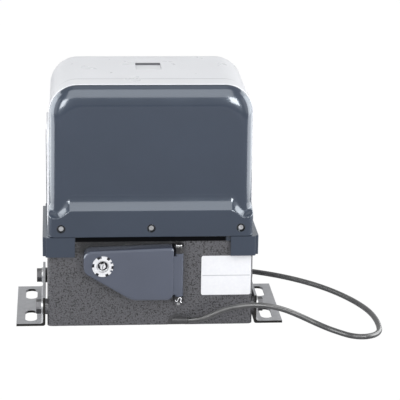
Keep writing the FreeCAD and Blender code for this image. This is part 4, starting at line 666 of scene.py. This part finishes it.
# painted shade in the seats and recesses of the cover screws
screwSeatShade = {
    "head": 0.0029, "headFade": 0.0004, "recessFade": 0.0005, "amount": 0.95,
    "seatShadeColor": (20, 20, 22), "recessShadeColor": (22, 22, 25),
}


def fromScrews(tree, parts):
    # distance from the axis of the nearest of the three cover screws
    across = combine(tree, "ABSOLUTE", parts["X"])
    across = combine(tree, "MINIMUM", across, awayFrom(tree, across, panelForm["screws"][2]))
    rise = combine(tree, "SUBTRACT", parts["Z"], panelForm["screwHeight"])
    return radiusOf(tree, across, rise)


def screwWithPaintedShade(name, look, marks):
    # bright head, with painted shade in the seat round it
    material, tree, parts = startFrom(turnedMetal, name, look)
    ring = ramp(tree, fromScrews(tree, parts), marks["head"], marks["head"] + marks["headFade"],
                0.0, marks["amount"])
    paintOver(material, ring, marks["seatShadeColor"])
    return material


def panelWithPaintedShade(name, look, marks):
    # painted shade: the screw recesses are coloured near black inside
    material, tree, parts = startFrom(mouldedPlastic, name, look)
    edge = panelForm["recess"]
    recess = ramp(tree, fromScrews(tree, parts), edge, edge + marks["recessFade"], marks["amount"], 0.0)
    paintOver(material, recess, marks["recessShadeColor"])
    return material


# painted shadow on the hinge lugs and on the wall above the door
castingShade = {
    "lugsFrom": -0.0735, "lugsTo": -0.0728, "lugShade": 0.9,
    "left": (-0.012, -0.002), "right": (-0.004, 0.001), "top": (-0.016, -0.010), "wall": (-0.069, -0.066),
    "color": (18, 18, 20),
}


def castingWithPaintedShade(name, look, marks):
    # painted shadow: the hinge lugs in front of the wall are coloured near black, and so is the wall above
    # the door, for the shade that falls there
    material, tree, parts = startFrom(hammertonePaint, name, look)
    lugShade = ramp(tree, parts["Y"], marks["lugsFrom"], marks["lugsTo"], marks["lugShade"], 0.0)
    low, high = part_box("release_door")
    band = times(tree, ramp(tree, parts["X"], *(low.x + step for step in marks["left"])),
                 ramp(tree, parts["X"], *(high.x + step for step in marks["right"]), 1.0, 0.0),
                 ramp(tree, parts["Z"], *(high.z + step for step in marks["top"])),
                 ramp(tree, parts["Y"], *marks["wall"], 1.0, 0.0))
    paintOver(material, combine(tree, "MAXIMUM", lugShade, band), marks["color"])
    return material


darkBolt = dict(zincFastener, color=(92, 92, 94), stainColor=(64, 64, 66), roughness=0.36)
greyRubber = dict(blackRubber, color=(62, 62, 64), hazeColor=(104, 104, 106), roughness=0.4)


# cover front panel: one moulding with its rounded rim, ramp, skirt and screw recesses

panelForm = {
    "half": 0.125, "draft": 0.002, "top": 0.3095, "corner": 0.035, "cornerLoss": 0.008,
    "roundSide": 0.016, "roundTop": 0.028, "roundDepth": 0.013,
    "face": -0.0725, "seam": -0.0595,
    "skirtHalf": 0.128, "skirtFront": -0.0795, "skirtCorner": 0.009, "bottom": 0.1195, "lip": 0.0012,
    "skirtTop": 0.154, "rampTop": 0.1745, "crease": 0.12,
    "scoopStart": 0.099, "scoopX": 0.1175, "scoopDrop": 0.0095, "scoopLedge": 0.0075, "scoopRim": 0.35,
    "sideLow": 0.146, "sideHigh": 0.161,
    "columns": 150, "screws": (-0.112, 0.0, 0.112), "screwHeight": 0.131,
    "recess": 0.0052, "recessDepth": 0.0048, "wall": 0.003, "hollowDrop": 0.006, "skirtHollowDrop": 0.012,
    "past": 0.01,   # how far a cutter reaches beyond an open side
}


def panelHalf(form, z):
    return form["half"] + form["draft"] * (form["top"] - z) / (form["top"] - form["bottom"])


def ringDistance(form, x, z, inset):
    # distance outside the face's outline, moved in by a share of the rounding
    half = panelHalf(form, z) - inset * form["roundSide"]
    top = form["top"] - inset * form["roundTop"]
    corner = form["corner"] - inset * form["cornerLoss"]
    across, above = abs(x) - (half - corner), z - (top - corner)
    if across <= 0 or above <= 0:
        return max(across, above) - corner
    return math.hypot(across, above) - corner


def pillowDepth(form, x, z):
    low, high = 0.0, 1.0
    if ringDistance(form, x, z, high) <= 0:
        return form["face"]
    for _ in range(20):
        middle = (low + high) / 2
        if ringDistance(form, x, z, middle) <= 0:
            low = middle
        else:
            high = middle
    return form["face"] + form["roundDepth"] * (1 - math.sqrt(max(0.0, 1 - (1 - low) ** 2)))


def skirtDepth(form, x):
    over = max(0.0, abs(x) - (form["skirtHalf"] - form["skirtCorner"]))
    reach = math.sqrt(max(0.0, form["skirtCorner"] ** 2 - over ** 2))
    return form["skirtFront"] + form["skirtCorner"] - reach


def rampShare(form, x, z):
    # 0 on the skirt and 1 on the face; near each side the skirt's edge dips round a scoop
    inward = (abs(x) - form["scoopStart"]) / (form["scoopX"] - form["scoopStart"])
    outward = max(0.0, abs(x) - form["scoopX"]) / (form["skirtHalf"] - form["scoopX"])
    dip = smoothShare(inward) - form["scoopRim"] * outward ** 2
    edge = form["skirtTop"] - form["scoopDrop"] * dip
    height = (form["rampTop"] - form["skirtTop"]) * (1 - dip) + form["scoopLedge"] * dip
    along = (z - edge) / height
    share = 1 - (1 - along) ** 2 if along > 0 else 2 * along
    if along > 1:
        return 1.0
    gap = max(0.0, form["crease"] - abs(share)) / form["crease"]
    return min(1.0, max(share, 0.0) + gap * gap * form["crease"] / 4)


def panelHeights(form):
    heights = [form["bottom"] + form["lip"] * (1 - math.cos(math.radians(18 * step))) for step in range(6)]
    rampEnd, flatEnd = form["rampTop"] + 0.002, form["top"] - form["roundTop"] - 0.006
    for start, end, steps in ((heights[-1], rampEnd, 90), (rampEnd, flatEnd, 24)):
        heights += [start + (end - start) * (step + 1) / steps for step in range(steps)]
    return heights + [flatEnd + (form["top"] - flatEnd) * math.sin(math.radians(2 * (step + 1)))
                      for step in range(45)]


def panelPoint(form, share, z):
    half = panelHalf(form, z)
    over = max(0.0, z - (form["top"] - form["corner"]))
    half += math.sqrt(max(0.0, form["corner"] ** 2 - over ** 2)) - form["corner"]
    turnIn = smoothShare((z - form["sideLow"]) / (form["sideHigh"] - form["sideLow"]))
    x = share * (form["skirtHalf"] * (1 - turnIn) + half * turnIn)
    y = pillowDepth(form, share * half, z)
    if z < form["rampTop"]:
        ramp = rampShare(form, x, z)
        y = skirtDepth(form, share * form["skirtHalf"]) * (1 - ramp) + y * ramp
    lift = max(0.0, form["bottom"] + form["lip"] - z)
    y += form["lip"] - math.sqrt(max(0.0, form["lip"] ** 2 - lift ** 2))
    return x, min(y, form["seam"] - 0.0001), z


def boxCutter(low, high):
    mesh = bmesh.new()
    bmesh.ops.create_cube(mesh, size=1.0)
    for vert in mesh.verts:
        vert.co = [(a + b) / 2 + (b - a) * part for a, b, part in zip(low, high, vert.co)]
    return mesh


def drillCutter(place, radius, depth):
    mesh = bmesh.new()
    bmesh.ops.create_cone(mesh, cap_ends=True, segments=48, radius1=radius, radius2=radius, depth=2 * depth)
    bmesh.ops.rotate(mesh, verts=mesh.verts, matrix=Matrix.Rotation(math.radians(90), 3, "X"))
    bmesh.ops.translate(mesh, verts=mesh.verts, vec=place)
    return mesh


def meshObject(name, mesh):
    data = bpy.data.meshes.new(name)
    bmesh.ops.recalc_face_normals(mesh, faces=mesh.faces)
    mesh.to_mesh(data)
    mesh.free()
    return placeObject(name, data)


def carve(body, operation, shapes):
    # joins closed meshes to a body or cuts them out of it, by the boolean's own operation names
    tools = [meshObject("tool", shape) for shape in shapes]
    for tool in tools:
        modifier = body.modifiers.new("carve", "BOOLEAN")
        modifier.operation = operation
        modifier.solver = "EXACT"
        modifier.object = tool
    shaped = bpy.data.meshes.new_from_object(body.evaluated_get(bpy.context.evaluated_depsgraph_get()))
    body.modifiers.clear()
    body.data = shaped
    for tool in tools:
        bpy.data.objects.remove(tool)


def smoothBy(body, angle):
    for face in body.data.polygons:
        face.use_smooth = True
    body.data.set_sharp_from_angle(angle=math.radians(angle))


def makePanel(form):
    shares = [math.sin(math.radians(90 * (2 * step / form["columns"] - 1)))
              for step in range(form["columns"] + 1)]
    mesh = bmesh.new()
    rows = []
    for z in panelHeights(form):
        points = [panelPoint(form, share, z) for share in shares]
        points = [(points[0][0], form["seam"], z)] + points + [(points[-1][0], form["seam"], z)]
        rows.append([mesh.verts.new(point) for point in points])
    for below, above in zip(rows, rows[1:]):
        for index in range(len(below) - 1):
            mesh.faces.new((below[index], below[index + 1], above[index + 1], above[index]))
    mesh.faces.new(rows[0])
    mesh.faces.new([row[0] for row in rows] + rows[-1][1:-1] + [row[-1] for row in rows[::-1]])
    panel = meshObject("coverPanel", mesh)
    inner, wall, past = form["half"] - form["roundSide"], form["wall"], form["past"]
    cutters = [boxCutter((-inner, form["face"] + wall, form["skirtTop"] - form["hollowDrop"]),
                         (inner, form["seam"] + past, form["top"] - form["roundTop"])),
               boxCutter((-form["scoopX"], form["skirtFront"] + 2.5 * wall, form["bottom"] - past),
                         (form["scoopX"], form["seam"] + past, form["skirtTop"] - form["skirtHollowDrop"]))]
    cutters += [drillCutter((x, form["skirtFront"], form["screwHeight"]), form["recess"], form["recessDepth"])
                for x in form["screws"]]
    carve(panel, "DIFFERENCE", cutters)
    smoothBy(panel, 42)
    dressPiece(panel, "slate_plastic", "cover_front_panel",
               finish=panelWithPaintedShade("panelPlastic", slatePlastic, screwSeatShade))


# cover shell and bezel: one drafted section carried along the depth, with raised cheeks

shellForm = {
    "halfFront": 0.125, "halfBack": 0.1235, "topFront": 0.3095, "topBack": 0.318,
    "cornerFront": 0.035, "cornerBack": 0.036, "draft": 0.002, "bottom": 0.1195,
    "front": -0.0595, "seam": -0.036, "back": 0.0765, "backRound": 0.009,
    "bezelProud": 0.0006, "bezelEdge": 0.0005,
    "cheekOut": 0.1293, "cheekFront": -0.026, "cheekBack": 0.066, "cheekTop": 0.250, "cheekRadius": 0.026,
    "cheekEdge": 0.0016, "inlayMargin": 0.012, "inlayTop": 0.230, "inlayDeep": 0.002,
    "inlayGap": 0.0003, "inlayProud": 0.0009, "inlayEdge": 0.0005,
    "wall": 0.003, "cheekRoot": 0.009, "badgeGap": 0.0004, "badgeOpen": 0.33,
    "slotGap": 0.002, "slotDepth": 0.012, "arcSteps": 24,
    "past": 0.002,   # how far a cutter reaches beyond an open side
}


def shellRing(form, y, inset):
    share = (y - form["front"]) / (form["back"] - form["front"])
    half = form["halfFront"] + share * (form["halfBack"] - form["halfFront"]) - inset
    top = form["topFront"] + share * (form["topBack"] - form["topFront"]) - inset
    corner = form["cornerFront"] + share * (form["cornerBack"] - form["cornerFront"]) - inset / 2
    lean = form["draft"] / (top - form["bottom"])
    turn = top - corner
    centre = half + lean * corner - corner
    side = [(half + lean * (top - z), z) for z in
            (form["bottom"] + (turn - form["bottom"]) * step / 10 for step in range(10))]
    angles = [math.radians(90 * step / form["arcSteps"]) for step in range(form["arcSteps"] + 1)]
    right = side + [(centre + corner * math.cos(angle), turn + corner * math.sin(angle)) for angle in angles]
    return [(-x, y, z) for x, z in right] + [(x, y, z) for x, z in reversed(right)]


def ringsAlong(form, start, length, steps, inset):
    return [shellRing(form, start + length * step / steps, inset) for step in range(steps + 1)]


def sweepRings(rings):
    mesh = bmesh.new()
    rows = [[mesh.verts.new(point) for point in ring] for ring in rings]
    for near, far in zip(rows, rows[1:]):
        for index in range(len(near)):
            after = (index + 1) % len(near)
            mesh.faces.new((near[index], near[after], far[after], far[index]))
    mesh.faces.new(rows[0])
    mesh.faces.new(rows[-1][::-1])
    return mesh


def uprightOutline(front, back, bottom, top, radius):
    points = [(front, bottom), (back, bottom)]
    for centre, start in ((back - radius, 0), (front + radius, 90)):
        points += [(centre + radius * math.cos(math.radians(start + 7.5 * step)),
                    top - radius + radius * math.sin(math.radians(start + 7.5 * step))) for step in range(13)]
    return points


def cheekSlab(outline, side, inner, outer, edge):
    # slab on one flank; the outer edge is rounded over when edge is more than zero
    steps = 5 if edge > 0 else 0
    middle = [sum(point[axis] for point in outline) / len(outline) for axis in (0, 1)]
    rings = [[(side * inner, y, z) for y, z in outline]]
    for step in range(steps + 1):
        turn = math.radians(90 * step / max(1, steps))
        shrink = edge * (1 - math.cos(turn))
        ring = []
        for y, z in outline:
            away = Vector((y - middle[0], max(0.0, z - middle[1]) if z > outline[0][1] else 0.0))
            away = away.normalized() * shrink if away.length > 0 else away
            ring.append((side * (outer - edge + edge * math.sin(turn)), y - away[0], z - away[1]))
        rings.append(ring)
    return sweepRings(rings)


def hollowCutter(form, front, back):
    lower = dict(form, bottom=form["bottom"] - form["wall"])
    return sweepRings(ringsAlong(lower, front, back - front, 4, form["wall"]))


def makeShell(form):
    past = form["past"]
    rings = ringsAlong(form, form["seam"], form["back"] - form["backRound"] - form["seam"], 14, 0)
    for step in range(1, 9):
        turn = math.radians(90 * step / 8)
        rings.append(shellRing(form, form["back"] - form["backRound"] * (1 - math.sin(turn)),
                               form["backRound"] * (1 - math.cos(turn))))
    shell = meshObject("coverShell", sweepRings(rings))
    outline = uprightOutline(form["cheekFront"], form["cheekBack"], form["bottom"], form["cheekTop"],
                             form["cheekRadius"])
    inner = form["cheekOut"] - form["cheekRoot"]
    carve(shell, "UNION", [cheekSlab(outline, side, inner, form["cheekOut"], form["cheekEdge"])
                           for side in (-1, 1)])
    margin = form["inlayMargin"]
    window = uprightOutline(form["cheekFront"] + margin, form["cheekBack"] - margin, form["bottom"] - past,
                            form["inlayTop"], form["cheekRadius"] - margin / 2)
    cutters = [cheekSlab(window, side, form["cheekOut"] - form["inlayDeep"], form["cheekOut"] + past, 0)
               for side in (-1, 1)]
    low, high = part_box("top_badge")
    gap = form["badgeGap"]
    cutters.append(boxCutter((low.x - gap, low.y - gap, low.z - 0.0001),
                             (high.x + gap, high.y + gap, form["badgeOpen"])))
    low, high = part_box("limit_switch_housing")
    gap = form["slotGap"]
    cutters.append(boxCutter((low.x - gap, form["back"] - form["slotDepth"], form["bottom"] - past / 2),
                             (high.x + gap, form["back"] + past / 2, high.z + gap)))
    cutters.append(hollowCutter(form, form["seam"] - past, form["back"] - form["backRound"]))
    carve(shell, "DIFFERENCE", cutters)
    smoothBy(shell, 32)
    dressPiece(shell, "pale_plastic", "cover_shell",
               finish=shellWithPaintedShade("shellPlastic", palePlastic, badgeShadeLines))


def makeInlays(form):
    margin = form["inlayMargin"] + form["inlayGap"]
    outline = uprightOutline(form["cheekFront"] + margin, form["cheekBack"] - margin, form["bottom"] + 0.0005,
                             form["inlayTop"] - form["inlayGap"], form["cheekRadius"] - margin / 2)
    inner = form["cheekOut"] - form["inlayDeep"] + form["inlayGap"]
    outer = form["cheekOut"] + form["inlayProud"]
    inlays = meshObject("sideInlays", cheekSlab(outline, -1, inner, outer, form["inlayEdge"]))
    carve(inlays, "UNION", [cheekSlab(outline, 1, inner, outer, form["inlayEdge"])])
    smoothBy(inlays, 32)
    dressPiece(inlays, "slate_plastic", "side_inlays")


def makeBezel(form):
    proud, edge = form["bezelProud"], form["bezelEdge"]
    length = form["seam"] - form["front"]
    rings = [shellRing(form, form["front"], -proud + edge)]
    rings += ringsAlong(form, form["front"] + edge, length - 2 * edge, 6, -proud)
    rings.append(shellRing(form, form["seam"], -proud + edge))
    bezel = meshObject("coverBezel", sweepRings(rings))
    past = form["past"]
    carve(bezel, "DIFFERENCE", [hollowCutter(form, form["front"] - past, form["seam"] + past)])
    smoothBy(bezel, 32)
    dressPiece(bezel, "pale_plastic", "cover_bezel")


clipForm = {
    "wire": 0.0011, "forward": -0.0012, "lift": 0.005,
    "points": ((-0.0042, 0, 0.0002), (-0.0040, 0, -0.0022), (-0.0016, 0, -0.0020), (-0.0006, 0, 0.0008),
               (0.0002, 0, 0.0030), (0.0024, 0, 0.0032), (0.0034, 0, 0.0014), (0.0030, 0, -0.0008),
               (0.0016, 0, -0.0022), (0.0040, 0, -0.0038)),
}


def makeHingeClip(form):
    # spring wire bent into an S, pushed on the lower end of the hinge pin
    low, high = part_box("hinge_clip")
    centre = ((low.x + high.x) / 2, low.y + form["forward"], (low.z + high.z) / 2 + form["lift"])
    points = [[middle + step for middle, step in zip(centre, point)] for point in form["points"]]
    clip = makeWire("hingeClip", points, form["wire"], 4)
    dressPiece(clip, "zinc_fastener", "hinge_clip", finish=finishes["chrome_lock"])


makePanel(panelForm)
print("cover panel made")
makeHingeClip(clipForm)
makeShell(shellForm)
makeBezel(shellForm)
makeInlays(shellForm)
print("cover shell and bezel made")


# finishes on the parts that keep their own shape

slotOf = {part["node"]: part["material_slot"] for part in frame["record"]["subparts"]}
nodeShading = {"creaseAngle": 32, "evenWeight": 80}

# pieces whose look differs a little from the rest of their slot, several of them by painted shade
ownFinish = {
    "bracket_bolts": turnedMetal("darkBolt", darkBolt),
    "cord_relief": rubberSkin("greyRubber", greyRubber),
    "lock_barrel": lockFinish("lockFlange", chromeLock, lockFace, flangeMarks),
    "lock_plug": lockFinish("lockPlug", chromeLock, lockFace, plugMarks),
    "top_badge": badgeWithPaintedShade("badgePlastic", palePlastic, badgeShadeLines),
    "cover_screws": screwWithPaintedShade("screwZinc", zincFastener, screwSeatShade),
    "base_casting": castingWithPaintedShade("castingPaint", hammertone, castingShade),
    "release_door": mouldedPlastic("doorPlastic", doorPlastic),
    "base_collar": collarWithPaintedShade("collarPlastic", slatePlastic, collarShade),
}


def dressNodes(shading):
    for name, node in nodes.items():
        if not node.data.materials:
            node.data.materials.append(None)
        for index in range(len(node.data.materials)):
            node.data.materials[index] = ownFinish.get(name, finishes[slotOf[name]])
        for face in node.data.polygons:
            face.use_smooth = True
        split = node.modifiers.new("crease", "EDGE_SPLIT")
        split.split_angle = math.radians(shading["creaseAngle"])
        even = node.modifiers.new("evenShade", "WEIGHTED_NORMAL")
        even.weight = shading["evenWeight"]


dressNodes(nodeShading)
print("nodes dressed")


# floor, sky and lamps

roomLight = {
    "floorSize": 12.0, "floorColor": (176, 176, 180),
    "floorShare": 0.96, "floorGlow": 1.04, "floorMirrored": 0.3,   # how far the floor shows as plain white
    "skyStrength": 0.36, "skyGlossy": 0.7,
    "aimHeight": 0.17, "cardLift": 0.01,
}
# turn and rise in degrees seen from the motor, distance, width, height and brightness
lamps = {
    "frontTop": (0, 40, 2.6, 2.3, 1.9, 2.65),
    "overhead": (0, 82, 2.2, 1.2, 1.3, 0.5),
    "leftSoft": (-55, 14, 2.1, 0.9, 1.0, 1.2),
    "rightSoft": (55, 14, 2.1, 0.9, 1.0, 0.9),
    "leftKey": (-26, 14, 2.4, 0.5, 0.55, 13),
    "rightKey": (22, 14, 2.4, 0.5, 0.55, 18),
    "leftFill": (-84, 14, 1.7, 1.1, 1.1, 2.2),
    "rightFill": (82, 14, 1.7, 1.1, 1.1, 3.6),
}
# upright strips close to each side, seen only as reflections: side, front end, rear end, height, brightness
cards = {
    "leftCard": (-0.6, -0.32, 0.5, 0.75, 4.0),
    "rightCard": (0.62, -0.34, 0.5, 0.75, 3.7),
}


def makeFloor(room):
    half = room["floorSize"] / 2
    mesh = bpy.data.meshes.new("studioFloor")
    mesh.from_pydata([(-half, -half, 0), (half, -half, 0), (half, half, 0), (-half, half, 0)],
                     [], [(0, 1, 2, 3)])
    floor = placeObject("studioFloor", mesh)
    material = bpy.data.materials.new("studioFloor")
    material.use_nodes = True
    tree = material.node_tree
    tree.nodes.clear()
    matte = addNode(tree, "ShaderNodeBsdfDiffuse", values={"Color": linear(*room["floorColor"])})
    glow = addNode(tree, "ShaderNodeEmission", values={"Strength": room["floorGlow"]})
    mix = addNode(tree, "ShaderNodeMixShader")
    rays = addNode(tree, "ShaderNodeLightPath").outputs
    direct = combine(tree, "MAXIMUM", rays["Is Camera Ray"], rays["Is Transmission Ray"])
    mirrored = times(tree, rays["Is Glossy Ray"], room["floorMirrored"])
    share = times(tree, combine(tree, "MAXIMUM", direct, mirrored), room["floorShare"])
    tree.links.new(share, mix.inputs[0])
    tree.links.new(matte.outputs[0], mix.inputs[1])
    tree.links.new(glow.outputs[0], mix.inputs[2])
    out = addNode(tree, "ShaderNodeOutputMaterial")
    tree.links.new(mix.outputs[0], out.inputs[0])
    mesh.materials.append(material)


def makeSky(room):
    world = bpy.data.worlds.new("studioSky")
    bpy.context.scene.world = world
    world.use_nodes = True
    tree = world.node_tree
    sky = tree.nodes["Background"]
    sky.inputs["Color"].default_value = (1, 1, 1, 1)
    path = addNode(tree, "ShaderNodeLightPath").outputs
    mirrored = times(tree, path["Is Glossy Ray"], room["skyGlossy"] - room["skyStrength"])
    strength = combine(tree, "ADD", room["skyStrength"], mirrored)
    strength = combine(tree, "MAXIMUM", strength, path["Is Camera Ray"])
    tree.links.new(strength, sky.inputs["Strength"])


def addLamp(name, place, facing, width, height, brightness):
    data = bpy.data.lights.new(name, "AREA")
    data.shape = "RECTANGLE"
    data.size, data.size_y = width, height
    data.energy = brightness * math.pi * width * height
    light = placeObject(name, data)
    light.location = place
    light.rotation_mode = "QUATERNION"
    light.rotation_quaternion = facing.to_track_quat("-Z", "Y")
    return light


def makeLamps(room):
    centre = Vector((0, 0, room["aimHeight"]))
    for name, (turn, rise, distance, width, height, brightness) in lamps.items():
        turn, rise = math.radians(turn), math.radians(rise)
        away = Vector((math.sin(turn) * math.cos(rise), -math.cos(turn) * math.cos(rise), math.sin(rise)))
        addLamp(name, centre + away * distance, -away, width, height, brightness)
    for name, (side, front, rear, height, brightness) in cards.items():
        place = (side, (front + rear) / 2, height / 2 + room["cardLift"])
        card = addLamp(name, place, Vector((-side, 0, 0)), rear - front, height, brightness)
        card.visible_diffuse = False


makeFloor(roomLight)
makeSky(roomLight)
makeLamps(roomLight)
bpy.context.scene.view_settings.view_transform = "Standard"
print("floor and light made")
